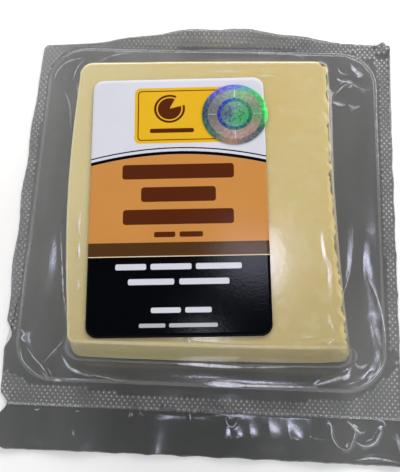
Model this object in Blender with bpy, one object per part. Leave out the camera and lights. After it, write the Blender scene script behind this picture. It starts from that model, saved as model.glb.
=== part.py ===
"""A block of cheddar sealed in clear film, lying flat with its paper label up.

Metres, +Z up. The pack lies on its flat back web, with X across it, +Y towards
its back edge and the origin under the middle of its box.
"""
import math

import bmesh
import bpy
from mathutils import Vector, noise

MM = 0.001

# The pack as cut: 118 mm across, 139 mm front to back.
HALF_WIDTH = 59.2 * MM
HALF_LENGTH = 69.35 * MM
CUT_CORNERS = [(59.2, -69.35), (58.9, 65.3), (-57.4, 63.3), (-58.2, -69.2)]
CUT_RADIUS = 2.0 * MM
BACK_BULGE = 4.6 * MM
LEFT_BULGE = 1.3 * MM
EDGE_WAVE = 0.35 * MM

# Dents of the left edge, as (distance along Y, depth, half width).
LEFT_DENTS = [(-35.5 * MM, 2.9 * MM, 5.5 * MM), (-56.0 * MM, 3.6 * MM, 5.0 * MM)]

# How far the loose edge lifts off the table.
BACK_LIFT = 3.6 * MM
CORNER_LIFT = 3.0 * MM
FRONT_LIFT = 1.2 * MM
MIDDLE_LIFT_SHARE = 0.3

# The two webs, and the gap that keeps neighbours apart.
WEB = 0.4 * MM
GAP = 0.3 * MM
FLANGE_TOP = 2 * WEB + GAP

# The pocket that was drawn into the clear web.
POCKET_CORNERS = [(53.8, -48.3), (53.0, 61.2), (-53.2, 61.0), (-54.4, -48.2)]
POCKET_RADIUS = 11.0 * MM
POCKET_RIM = 1.3 * MM

# The film from the pocket's rim, at share 0, to the foot of the block, at share 1, with its heights.
MOAT_PROFILE = [(0.0, 3.0), (0.14, 2.7), (0.42, 1.8), (0.72, 2.2), (0.88, 4.2), (0.96, 8.5)]

# The block: about 75 x 86 x 21 mm, knife-cut, with its right side crumbled.
CHEESE_CORNERS = [(40.4, -39.8), (35.4, 46.8), (-39.2, 44.3), (-35.2, -40.8)]
CHEESE_THICKNESS = 20.8 * MM
CHEESE_RADIUS = 3.6 * MM
CHEESE_TOP_ROUND = 2.0 * MM
CHEESE_FOOT_ROUND = 1.0 * MM
CHEESE_LEAN = 1.1 * MM
CHEESE_LEFT_BOW = 1.9 * MM
CHEESE_RIGHT_BOW = -0.9 * MM
CRUMBLE_RIGHT = 1.1 * MM
CRUMBLE_ELSEWHERE = 0.2 * MM
CRUMBLE_SIZE = 5.0 * MM

# The paper label and the round foil sticker that laps over its right edge.
LABEL_SIZE = (50.8 * MM, 78.0 * MM)
LABEL_CORNER = 3.2 * MM
LABEL_CENTRE = (-7.2 * MM, 0.25 * MM)
LABEL_TURN = math.radians(3.1)
STICKER_RADIUS = 9.7 * MM
STICKER_FROM_LABEL = (16.7 * MM, 26.9 * MM)
SKIN = 0.3 * MM

SIDE_STEPS = 25
ARC_STEPS = 5

CHEESE_FOOT = WEB + GAP
CHEESE_TOP = CHEESE_FOOT + CHEESE_THICKNESS
FILM_TOP = CHEESE_TOP + GAP + WEB
LABEL_FOOT = FILM_TOP + GAP
STICKER_FOOT = LABEL_FOOT + SKIN + GAP

COLLECTION = "vacuum_packed_cheddar"


def clear_scene():
    for obj in list(bpy.data.objects):
        bpy.data.objects.remove(obj, do_unlink=True)


def collection(name):
    made = bpy.data.collections.new(name)
    bpy.context.scene.collection.children.link(made)
    return made


def material(name, colour, roughness, alpha=1.0, transmission=0.0):
    made = bpy.data.materials.new(name)
    made.use_nodes = True
    shader = made.node_tree.nodes["Principled BSDF"]
    shader.inputs["Base Color"].default_value = (*colour, 1.0)
    shader.inputs["Roughness"].default_value = roughness
    shader.inputs["Metallic"].default_value = 0.0
    shader.inputs["Alpha"].default_value = alpha
    shader.inputs["Transmission Weight"].default_value = transmission
    return made


def corner_arc(before, corner, after, radius):
    """Points of the arc that rounds a corner, from the side before it to the side after."""
    back = (before - corner).normalized()
    ahead = (after - corner).normalized()
    half = back.angle(ahead) / 2
    centre = corner + (back + ahead).normalized() * radius / math.sin(half)
    start = corner + back * radius / math.tan(half) - centre
    turn = math.pi - 2 * half
    arc = []
    for step in range(ARC_STEPS + 1):
        angle = turn * step / ARC_STEPS
        cosine, sine = math.cos(angle), math.sin(angle)
        arc.append(centre + Vector((start.x * cosine - start.y * sine, start.x * sine + start.y * cosine)))
    return arc


def rounded_outline(corners, radius, bow=None):
    """Points round a four-cornered outline, anticlockwise from its front right corner.

    bow(side, share, point) pushes a side's point outwards. The sides are 0 right, 1 back, 2 left, 3 front.
    """
    corners = [Vector(corner) for corner in corners]
    arcs = [corner_arc(corners[k - 1], corners[k], corners[(k + 1) % 4], radius) for k in range(4)]
    points = []
    for side, arc in enumerate(arcs):
        first, last = arc[-1], arcs[(side + 1) % 4][0]
        along = (last - first).normalized()
        outwards = Vector((along.y, -along.x))
        points += arc
        for step in range(1, SIDE_STEPS + 1):
            share = step / (SIDE_STEPS + 1)
            point = first.lerp(last, share)
            push = bow(side, share, point) if bow else 0.0
            points.append(point + outwards * push)
    return points


def metres(corners):
    return [(x * MM, y * MM) for x, y in corners]


def grown(outline, amount):
    """The outline moved outwards by an amount at every point, square to its own run."""
    count = len(outline)
    moved = []
    for k, point in enumerate(outline):
        along = (outline[(k + 1) % count] - outline[k - 1]).normalized()
        moved.append(point + Vector((along.y, -along.x)) * amount)
    return moved


def blended(first, second, share):
    return [a.lerp(b, share) for a, b in zip(first, second)]


def cut_edge_bow(side, share, point):
    """How the cut edge strays from a straight line: the back bulges, and the left has two dents."""
    arch = math.sin(math.pi * share)
    wave = EDGE_WAVE * math.sin(11 * math.pi * share) * arch
    if side == 1:
        return BACK_BULGE * math.sin(math.pi * share**0.92) ** 1.6 + wave
    if side == 2:
        dents = sum(
            depth * max(0.0, 1 - abs(point.y - place) / half) for place, depth, half in LEFT_DENTS
        )
        return LEFT_BULGE * arch + wave - dents
    return -abs(wave)


def lift(point):
    """How far the loose edge stands off the table at a point of it."""
    x, y = point.x / HALF_WIDTH, point.y / HALF_LENGTH
    back = BACK_LIFT * max(0.0, 1 - (x / 0.8) ** 2) ** 2 * max(0.0, y) ** 6
    corner = CORNER_LIFT * max(0.0, x) ** 8 * max(0.0, y) ** 8
    front = FRONT_LIFT * (0.5 - 0.5 * math.cos(5 * math.pi * x)) * max(0.0, -y) ** 8
    return back + corner + front


def cheese_bow(side, share, point):
    bows = (CHEESE_RIGHT_BOW, 0.2 * MM, CHEESE_LEFT_BOW, 0.3 * MM)
    return bows[side] * math.sin(math.pi * share)


def crumble(point, height):
    """How deep the block's side is broken at a point: up to a millimetre on the right, a scratch elsewhere."""
    where = Vector((point.x, point.y, height)) / CRUMBLE_SIZE
    rough = abs(noise.noise(where)) + 0.5 * abs(noise.noise(where * 2.3))
    right = min(1.0, max(0.0, (point.x - 30 * MM) / (5 * MM)))
    return rough * (CRUMBLE_ELSEWHERE + (CRUMBLE_RIGHT - CRUMBLE_ELSEWHERE) * right)


def lofted(name, rings, group, finish):
    """A closed mesh through rings of (outline, heights), with a flat cap on the first and the last."""
    mesh = bpy.data.meshes.new(name)
    work = bmesh.new()
    rows = []
    for outline, heights in rings:
        rows.append([work.verts.new((p.x, p.y, z)) for p, z in zip(outline, heights)])
    count = len(rows[0])
    for low, high in zip(rows, rows[1:]):
        for k in range(count):
            after = (k + 1) % count
            work.faces.new((low[k], low[after], high[after], high[k]))
    caps = [work.faces.new(list(reversed(rows[0]))), work.faces.new(rows[-1])]
    bmesh.ops.poke(work, faces=caps)
    work.normal_update()
    work.to_mesh(mesh)
    work.free()
    made = bpy.data.objects.new(name, mesh)
    made.data.materials.append(finish)
    group.objects.link(made)
    return made


def level(outline, height):
    return outline, [height] * len(outline)


def lifted(outline, share, height):
    return outline, [share * lift(p) + height for p in outline]


def web_outlines():
    """The cut edge, the line halfway in, and the pocket's rim."""
    cut = rounded_outline(metres(CUT_CORNERS), CUT_RADIUS, cut_edge_bow)
    pocket = rounded_outline(metres(POCKET_CORNERS), POCKET_RADIUS)
    return cut, blended(grown(pocket, POCKET_RIM), cut, 0.5), pocket


def base_web(group):
    cut, middle, pocket = web_outlines()
    flat = grown(pocket, POCKET_RIM)
    rings = [
        level(flat, 0.0),
        lifted(middle, MIDDLE_LIFT_SHARE, 0.0),
        lifted(cut, 1.0, 0.0),
        lifted(cut, 1.0, WEB),
        lifted(middle, MIDDLE_LIFT_SHARE, WEB),
        level(flat, WEB),
    ]
    return lofted("base_web", rings, group, material("smoky back web", (0.16, 0.165, 0.165), 0.3))


def cheese_outline(extra=0.0):
    outline = rounded_outline(metres(CHEESE_CORNERS), CHEESE_RADIUS, cheese_bow)
    return grown(outline, extra)


def lean(height):
    """How far the block's sides stand out at a height, more towards the foot."""
    return CHEESE_LEAN * (CHEESE_TOP - height) / CHEESE_THICKNESS


def rounded_heights(foot, top, foot_round, top_round, walls):
    """(height, inset) pairs up a side whose foot and top are rounded."""
    pairs = []
    for angle in (0, 45):
        turn = math.radians(angle)
        pairs.append((foot + foot_round * (1 - math.cos(turn)), foot_round * (1 - math.sin(turn))))
    low, high = foot + foot_round, top - top_round
    pairs += [(low + (high - low) * step / walls, 0.0) for step in range(walls + 1)]
    for angle in (30, 60, 90):
        turn = math.radians(angle)
        pairs.append((high + top_round * math.sin(turn), top_round * (1 - math.cos(turn))))
    return pairs


def cheese_block(group):
    rings = []
    pairs = rounded_heights(CHEESE_FOOT, CHEESE_TOP, CHEESE_FOOT_ROUND, CHEESE_TOP_ROUND, 6)
    for height, inset in pairs:
        smooth = cheese_outline(lean(height) - inset)
        around = len(smooth)
        outline = []
        for k, point in enumerate(smooth):
            along = (smooth[(k + 1) % around] - smooth[k - 1]).normalized()
            depth = 0.0 if height in (CHEESE_FOOT, CHEESE_TOP) else crumble(point, height)
            outline.append(point - Vector((along.y, -along.x)) * depth)
        rings.append(level(outline, height))
    return lofted("cheese_block", rings, group, material("cheddar", (0.72, 0.58, 0.29), 0.5))


def top_film(group, cutters):
    """The clear web: its sealed edge, the pocket's rim, the slack round the block, and the skin over it."""
    cut, middle, pocket = web_outlines()
    flat = grown(pocket, POCKET_RIM)
    under = WEB + GAP
    wall = cheese_outline(GAP + WEB + CHEESE_LEAN)
    rings = [
        level(flat, under),
        lifted(middle, MIDDLE_LIFT_SHARE, under),
        lifted(cut, 1.0, under),
        lifted(cut, 1.0, FLANGE_TOP),
        lifted(middle, MIDDLE_LIFT_SHARE, FLANGE_TOP),
        level(flat, FLANGE_TOP),
    ]
    rings += [level(blended(pocket, wall, share), height * MM) for share, height in MOAT_PROFILE]
    round_over = CHEESE_TOP_ROUND + GAP + WEB
    for angle in (0, 30, 60, 90):
        turn = math.radians(angle)
        height = FILM_TOP - round_over * (1 - math.sin(turn))
        inset = round_over * (1 - math.cos(turn))
        rings.append(level(cheese_outline(GAP + WEB + lean(height) - inset), height))
    film = lofted("top_film", rings, group, material("clear film", (0.85, 0.86, 0.88), 0.12, 0.35, 0.6))
    inside = []
    pairs = [(-2 * WEB, 0.0), (CHEESE_TOP - CHEESE_TOP_ROUND, 0.0)]
    for angle in (30, 60, 90):
        turn = math.radians(angle)
        pairs.append(
            (CHEESE_TOP + GAP - (CHEESE_TOP_ROUND + GAP) * (1 - math.sin(turn)),
             (CHEESE_TOP_ROUND + GAP) * (1 - math.cos(turn)))
        )
    for height, inset in pairs:
        inside.append(level(cheese_outline(GAP + lean(max(height, 0.0)) - inset), height))
    cutter = lofted("room_for_block", inside, cutters, material("cutter", (1.0, 0.0, 0.0), 0.5))
    cutter.hide_render = True
    cutter.display_type = "WIRE"
    cut_out = film.modifiers.new("room for block", "BOOLEAN")
    cut_out.operation = "DIFFERENCE"
    cut_out.object = cutter
    return film


def label(group):
    wide, high = LABEL_SIZE
    box = [(wide / 2, -high / 2), (wide / 2, high / 2), (-wide / 2, high / 2), (-wide / 2, -high / 2)]
    outline = rounded_outline(box, LABEL_CORNER)
    finish = material("printed paper", (0.70, 0.72, 0.80), 0.35)
    made = lofted("label", [level(outline, 0.0), level(outline, SKIN)], group, finish)
    made.location = (*LABEL_CENTRE, LABEL_FOOT)
    made.rotation_euler.z = LABEL_TURN
    return made


def round_sticker(group, carrier):
    mesh = bpy.data.meshes.new("round_sticker")
    work = bmesh.new()
    bmesh.ops.create_cone(
        work,
        cap_ends=True,
        segments=64,
        radius1=STICKER_RADIUS,
        radius2=STICKER_RADIUS,
        depth=SKIN,
    )
    work.to_mesh(mesh)
    work.free()
    made = bpy.data.objects.new("round_sticker", mesh)
    made.data.materials.append(material("patterned foil", (0.45, 0.5, 0.5), 0.25))
    group.objects.link(made)
    made.parent = carrier
    made.location = (*STICKER_FROM_LABEL, STICKER_FOOT - LABEL_FOOT + SKIN / 2)
    return made


def smooth(obj):
    obj.data.shade_smooth()
    obj.data.set_sharp_from_angle(angle=math.radians(40))


def main():
    clear_scene()
    group = collection(COLLECTION)
    cutters = collection("cutters")
    pieces = [base_web(group), cheese_block(group), top_film(group, cutters)]
    pieces.append(label(group))
    pieces.append(round_sticker(group, pieces[-1]))
    for piece in pieces:
        smooth(piece)


main()
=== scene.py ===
"""Looks of a cheddar block sealed in clear film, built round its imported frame.

The pack lies on its back web with +Z up through the label, +Y towards its back edge and the
origin under the middle of its box. Sizes are millimetres times MM. Every web, the block and the
printed pieces are rows of places walked round an outline, wrapped into one sheet.
"""
from __future__ import annotations

import logging
import math
from dataclasses import dataclass
from enum import Enum
from typing import Callable, Sequence

import bmesh
import bpy
import numpy as np
from mathutils import Matrix, Vector, noise
from mathutils.bvhtree import BVHTree

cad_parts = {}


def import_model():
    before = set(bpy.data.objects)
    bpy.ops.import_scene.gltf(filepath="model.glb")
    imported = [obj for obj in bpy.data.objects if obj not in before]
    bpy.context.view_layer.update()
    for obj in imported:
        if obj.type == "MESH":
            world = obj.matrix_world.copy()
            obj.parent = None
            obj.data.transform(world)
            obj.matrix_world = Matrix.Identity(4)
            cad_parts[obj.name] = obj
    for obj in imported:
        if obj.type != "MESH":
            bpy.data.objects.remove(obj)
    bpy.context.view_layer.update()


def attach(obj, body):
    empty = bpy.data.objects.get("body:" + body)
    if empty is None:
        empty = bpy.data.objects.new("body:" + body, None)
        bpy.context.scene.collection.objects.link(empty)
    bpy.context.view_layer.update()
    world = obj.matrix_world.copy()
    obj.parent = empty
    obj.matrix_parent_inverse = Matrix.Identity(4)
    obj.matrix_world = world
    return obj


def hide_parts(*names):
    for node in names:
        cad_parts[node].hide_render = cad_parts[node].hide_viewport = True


MM = 0.001
BODY = "root"

# The pack as cut, and how far its loose edges lift off the table.
CUT_CORNERS = ((59.12, -69.3), (58.82, 65.3), (-57.4, 63.3), (-58.0, -69.15))
CUT_RADII = (2.0, 1.2, 2.0, 3.6)
HALF_WIDTH = 59.2
HALF_LENGTH = 69.35
BACK_BULGE = 4.55
LEFT_BULGE = 1.3
EDGE_WAVE = 0.35
LEFT_DENTS = ((-35.8, 2.1, 4.6), (-56.2, 2.4, 3.8))
CORNER_TIP = 1.2
BACK_LIFT = 3.6
BACK_LIFT_REACH = 0.8
CORNER_LIFT = 3.0
FRONT_LIFT = 0.8
FRONT_WAVES = 2.5
LIFT_RAMP = 4.0
# Beyond this far from the middle lie the pack's left and right sides.
SIDES_FROM = 50.0

# The pocket drawn into the clear web, and where the heat seal ends in front.
POCKET_CORNERS = ((53.8, -48.3), (53.0, 61.2), (-53.2, 61.0), (-54.4, -48.2))
POCKET_RADIUS = 11.0
POCKET_RIM = 1.3
SEAL_FRONT = -56.8

# The block inside.
BLOCK_CORNERS = ((40.4, -39.8), (35.4, 46.8), (-39.2, 44.3), (-35.2, -40.8))
BLOCK_RADII = (1.8, 2.4, 3.6, 2.0)
BLOCK_FOOT = 0.6
BLOCK_TOP = 21.85
BLOCK_LEAN = 1.1
BLOCK_GROWN = 0.25
FLARE_REACH = 4.5
# Where the foot is drawn out, and how far.
FLARES = (((40.4, -39.8), (3.0, 0.5)), ((-35.2, -40.8), (-1.9, 0.2)))

# Heights of the layers over the block and over the seal.
WEB_TOP = 0.35
SEAL_TOP = 0.6
FILM_TOP = 22.15
LABEL_TOP = 22.5
STICKER_TOP = 22.8

# The printed pieces on top.
LABEL_SIZE = (50.8, 78.0)
LABEL_CORNER = 3.2
LABEL_CENTRE = (-7.2, 0.25)
LABEL_TURN = math.radians(3.1)
STICKER_RADIUS = 9.7
STICKER_ON_LABEL = (16.7, 26.9)

LOG = logging.getLogger("cheddar_pack")

Colour = tuple[float, float, float, float]
Path = tuple[tuple[float, float], ...]
Socket = bpy.types.NodeSocket


class Side(Enum):
    """Sides of a four-cornered outline, in the order in which it is walked."""

    RIGHT = 0
    BACK = 1
    LEFT = 2
    FRONT = 3


Bow = Callable[[Side, float, Vector], float]


def linear(red: float, green: float, blue: float) -> Colour:
    """Turns a colour of 0 to 255 steps, as a screen shows it, into linear light.

    Args:
        red: Red step.
        green: Green step.
        blue: Blue step.

    Returns:
        The linear colour, with a full alpha.
    """
    steps = [step / 255 for step in (red, green, blue)]
    light = [s / 12.92 if s <= 0.04045 else ((s + 0.055) / 1.055) ** 2.4 for s in steps]
    return (light[0], light[1], light[2], 1.0)


def smooth_step(low: float, high: float, value: np.ndarray | float) -> np.ndarray:
    """Rises smoothly from 0 at low to 1 at high.

    Args:
        low: Where the rise starts.
        high: Where it ends.
        value: Where to read it.

    Returns:
        The risen share at each value.
    """
    share = np.clip((np.asarray(value, float) - low) / (high - low), 0.0, 1.0)
    return share * share * (3 - 2 * share)


@dataclass(frozen=True)
class Outline:
    """A four-cornered outline with round corners, walked anticlockwise from its front right corner.

    Attributes:
        corners: Front right, back right, back left and front left, in millimetres.
        radii: Radius of each corner, in millimetres.
        bow: How far a side's point is pushed outwards.
    """

    corners: Path
    radii: tuple[float, ...]
    bow: Bow | None = None

    def arc(self, corner: int, steps: int) -> list[Vector]:
        """Rounds one corner.

        Args:
            corner: Which corner.
            steps: Steps along its arc.

        Returns:
            Points of the arc, from the side before it to the side after.
        """
        place = Vector(self.corners[corner])
        back = (Vector(self.corners[corner - 1]) - place).normalized()
        ahead = (Vector(self.corners[(corner + 1) % 4]) - place).normalized()
        half = back.angle(ahead) / 2
        centre = place + (back + ahead).normalized() * self.radii[corner] / math.sin(half)
        start = place + back * self.radii[corner] / math.tan(half) - centre
        turns = [(math.pi - 2 * half) * step / steps for step in range(steps + 1)]
        waves = [(math.cos(turn), math.sin(turn)) for turn in turns]
        return [centre + Vector((start.x * c - start.y * s, start.x * s + start.y * c)) for c, s in waves]

    def walk(self, side_steps: int, arc_steps: int) -> np.ndarray:
        """Walks round the outline.

        Args:
            side_steps: Points between two corners' arcs.
            arc_steps: Steps along each corner's arc.

        Returns:
            One row of x and y, in millimetres, for each point.
        """
        arcs = [self.arc(corner, arc_steps) for corner in range(4)]
        points: list[Vector] = []
        for side in Side:
            arc, after = arcs[side.value], arcs[(side.value + 1) % 4]
            along = (after[0] - arc[-1]).normalized()
            outwards = Vector((along.y, -along.x))
            points += arc
            for step in range(1, side_steps + 1):
                share = step / (side_steps + 1)
                point = arc[-1].lerp(after[0], share)
                push = self.bow(side, share, point) if self.bow else 0.0
                points.append(point + outwards * push)
        return np.array([(p.x, p.y) for p in points])


def grown(outline: np.ndarray, amount: np.ndarray | float) -> np.ndarray:
    """Moves an outline outwards, square to its own run.

    Args:
        outline: Points of x and y.
        amount: How far, for all points or for each.

    Returns:
        The moved points.
    """
    along = np.roll(outline, -1, axis=0) - np.roll(outline, 1, axis=0)
    along /= np.linalg.norm(along, axis=1, keepdims=True)
    outwards = np.stack([along[:, 1], -along[:, 0]], axis=1)
    return outline + outwards * np.reshape(amount, (-1, 1))


def run_along(points: np.ndarray) -> np.ndarray:
    """Length of the way from the first point to each."""
    return np.concatenate([[0.0], np.cumsum(np.linalg.norm(np.diff(points, axis=0), axis=1))])


def sorted_by(points: np.ndarray, axis: int) -> np.ndarray:
    """Points in the order of one of their coordinates."""
    return points[np.argsort(points[:, axis])]


def edge_bow(side: Side, share: float, point: Vector) -> float:
    """How the cut edge strays from a straight line: the back bulges, and the left has two dents.

    Args:
        side: Side of the pack.
        share: How far along that side.
        point: The straight side's point.

    Returns:
        The push outwards, in millimetres.
    """
    arch = math.sin(math.pi * share)
    wave = EDGE_WAVE * math.sin(11 * math.pi * share) * arch
    ragged = 0.16 * noise.noise(point.to_3d() * 0.55) * min(1.0, 6 * arch)
    if side is Side.BACK:
        tip = CORNER_TIP * math.exp(-(((point.x - 56.6) / 1.1) ** 2))
        return BACK_BULGE * math.sin(math.pi * share**0.92) ** 1.6 + wave + ragged + tip
    if side is Side.LEFT:
        dents = sum(d * max(0.0, 1 - ((point.y - at) / half) ** 2) ** 2 for at, d, half in LEFT_DENTS)
        return LEFT_BULGE * arch + wave + ragged - dents
    return -abs(wave) + ragged - 0.1


def block_bow(side: Side, share: float, point: Vector) -> float:
    """How the block's sides curve: the left swells, the right is hollow."""
    bows = {Side.RIGHT: -0.9, Side.BACK: 0.2, Side.LEFT: 1.9, Side.FRONT: 0.3}
    return bows[side] * math.sin(math.pi * share)


CUT = Outline(CUT_CORNERS, CUT_RADII, edge_bow)
POCKET = Outline(POCKET_CORNERS, (POCKET_RADIUS,) * 4)
BLOCK = Outline(BLOCK_CORNERS, BLOCK_RADII, block_bow)


def leaned(outline: np.ndarray, height: float, out: float) -> np.ndarray:
    """The block's outline at a height: wider towards the foot, drawn out at its front corners.

    Args:
        outline: Points of the plain outline, in millimetres.
        height: Height of the row.
        out: How far it stands outside the plain outline at the top.

    Returns:
        The row's points.
    """
    share = (BLOCK_TOP - max(height, 0.0)) / (BLOCK_TOP - BLOCK_FOOT)
    row_points = grown(outline, out + share * BLOCK_LEAN)
    for place, pull in FLARES:
        near = np.exp(-((np.linalg.norm(outline - np.array(place), axis=1) / FLARE_REACH) ** 2))
        row_points = row_points + share * near[:, None] * np.array(pull)
    return row_points


def closing(edge: np.ndarray, shares: Sequence[float]) -> list[np.ndarray]:
    """Outlines that shrink from an edge to its middle and turn round on their way.

    Args:
        edge: Points of the edge.
        shares: Size of each outline, from 1 at the edge to 0.

    Returns:
        One outline for each share.
    """
    centre = edge.mean(axis=0)
    away = edge - centre
    first = math.atan2(away[0, 1], away[0, 0])
    angles = first + np.linspace(0, 2 * math.pi, len(edge), endpoint=False)
    radius = np.linalg.norm(away, axis=1).min()
    circle = radius * np.column_stack([np.cos(angles), np.sin(angles)])
    turned = [float(smooth_step(1.0, 0.35, share)) for share in shares]
    return [centre + share * (away * (1 - t) + circle * t) for share, t in zip(shares, turned)]


def sheet_lift(points: np.ndarray) -> np.ndarray:
    """How far both webs stand off the table outside the pocket.

    Args:
        points: Rows of x and y, in millimetres.

    Returns:
        The lift of each point, in millimetres.
    """
    x, y = points[:, 0] / HALF_WIDTH, points[:, 1] / HALF_LENGTH
    back = BACK_LIFT * np.maximum(0.0, 1 - (x / BACK_LIFT_REACH) ** 2) ** 2 * np.maximum(0.0, y) ** 6
    corner = CORNER_LIFT * np.maximum(0.0, x) ** 8 * np.maximum(0.0, y) ** 8
    front = FRONT_LIFT * (0.5 - 0.5 * np.cos(2 * FRONT_WAVES * math.pi * x)) * np.maximum(0.0, -y) ** 8
    (right, low), (_, high), *_ = POCKET_CORNERS
    outside = np.maximum.reduce([np.abs(points[:, 0]) - right, points[:, 1] - high, low - points[:, 1]])
    return (back + corner + front) * smooth_step(POCKET_RIM, POCKET_RIM + LIFT_RAMP, outside)


def row(outline: np.ndarray, heights: np.ndarray | float) -> np.ndarray:
    """Joins an outline and its heights, all in millimetres, into places in metres."""
    return np.column_stack([outline, np.broadcast_to(heights, len(outline))]) * MM


def roughness_at(points: np.ndarray, size: float, seed: float = 0.0) -> np.ndarray:
    """Reads soft noise at points.

    Args:
        points: Rows of two or three coordinates, in millimetres.
        size: Size of one lump, in millimetres.
        seed: Moves the noise, so that two readings differ.

    Returns:
        A value of about -1 to 1 for each point.
    """
    flat = points if points.shape[1] == 3 else np.column_stack([points, np.zeros(len(points))])
    shift = Vector((seed, seed * 1.7, seed * 0.3))
    return np.array([noise.noise(Vector(p) / size + shift) for p in flat])


def wrapped_sheet(rows: Sequence[np.ndarray]) -> bmesh.types.BMesh:
    """Wraps a grid into one sheet through rows of places, and closes its seam and its poles.

    Args:
        rows: Places in metres, the same number in each row, walked the same way round.

    Returns:
        The sheet.
    """
    columns, last = len(rows[0]), len(rows) - 1
    places = np.stack(rows)
    work = bmesh.new()
    bmesh.ops.create_grid(work, x_segments=columns, y_segments=last, size=0.5)
    edges = []
    for vert in work.verts:
        column, line = round((vert.co.x + 0.5) * columns), round((vert.co.y + 0.5) * last)
        vert.co = places[line, column % columns]
        if column in (0, columns) or line in (0, last):
            edges.append(vert)
    bmesh.ops.remove_doubles(work, verts=edges, dist=1e-7)
    bmesh.ops.dissolve_degenerate(work, dist=1e-8, edges=work.edges)
    work.normal_update()
    highest = max(work.faces, key=lambda face: face.calc_center_median().z)
    if highest.normal.z < 0:
        bmesh.ops.reverse_faces(work, faces=work.faces)
    work.normal_update()
    return work


def linked(name: str, data: bpy.types.ID) -> bpy.types.Object:
    """Makes an object of some data and links it to the scene."""
    made = bpy.data.objects.new(name, data)
    bpy.context.scene.collection.objects.link(made)
    return made


@dataclass
class Piece:
    """A finished piece of the pack, riding on its body.

    Attributes:
        name: The piece's name.
        slot: The record's material slot.
        replaces: CAD nodes that it stands for.
    """

    name: str
    slot: str
    replaces: tuple[str, ...] = ()

    def finish(self, work: bmesh.types.BMesh, material: bpy.types.Material,
               crease: float = 180.0) -> bpy.types.Object:
        """Makes the object from its mesh.

        Args:
            work: The mesh, which is used up.
            material: Its finish.
            crease: Angle from which an edge stays sharp, in degrees.

        Returns:
            The object.
        """
        mesh = bpy.data.meshes.new(self.name)
        work.to_mesh(mesh)
        work.free()
        mesh.shade_smooth()
        if crease < 180.0:
            mesh.set_sharp_from_angle(angle=math.radians(crease))
        mesh.materials.append(material)
        made = linked(self.name, mesh)
        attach(made, BODY)
        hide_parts(*self.replaces)
        LOG.info("%s: %d faces", self.name, len(mesh.polygons))
        return made


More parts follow.
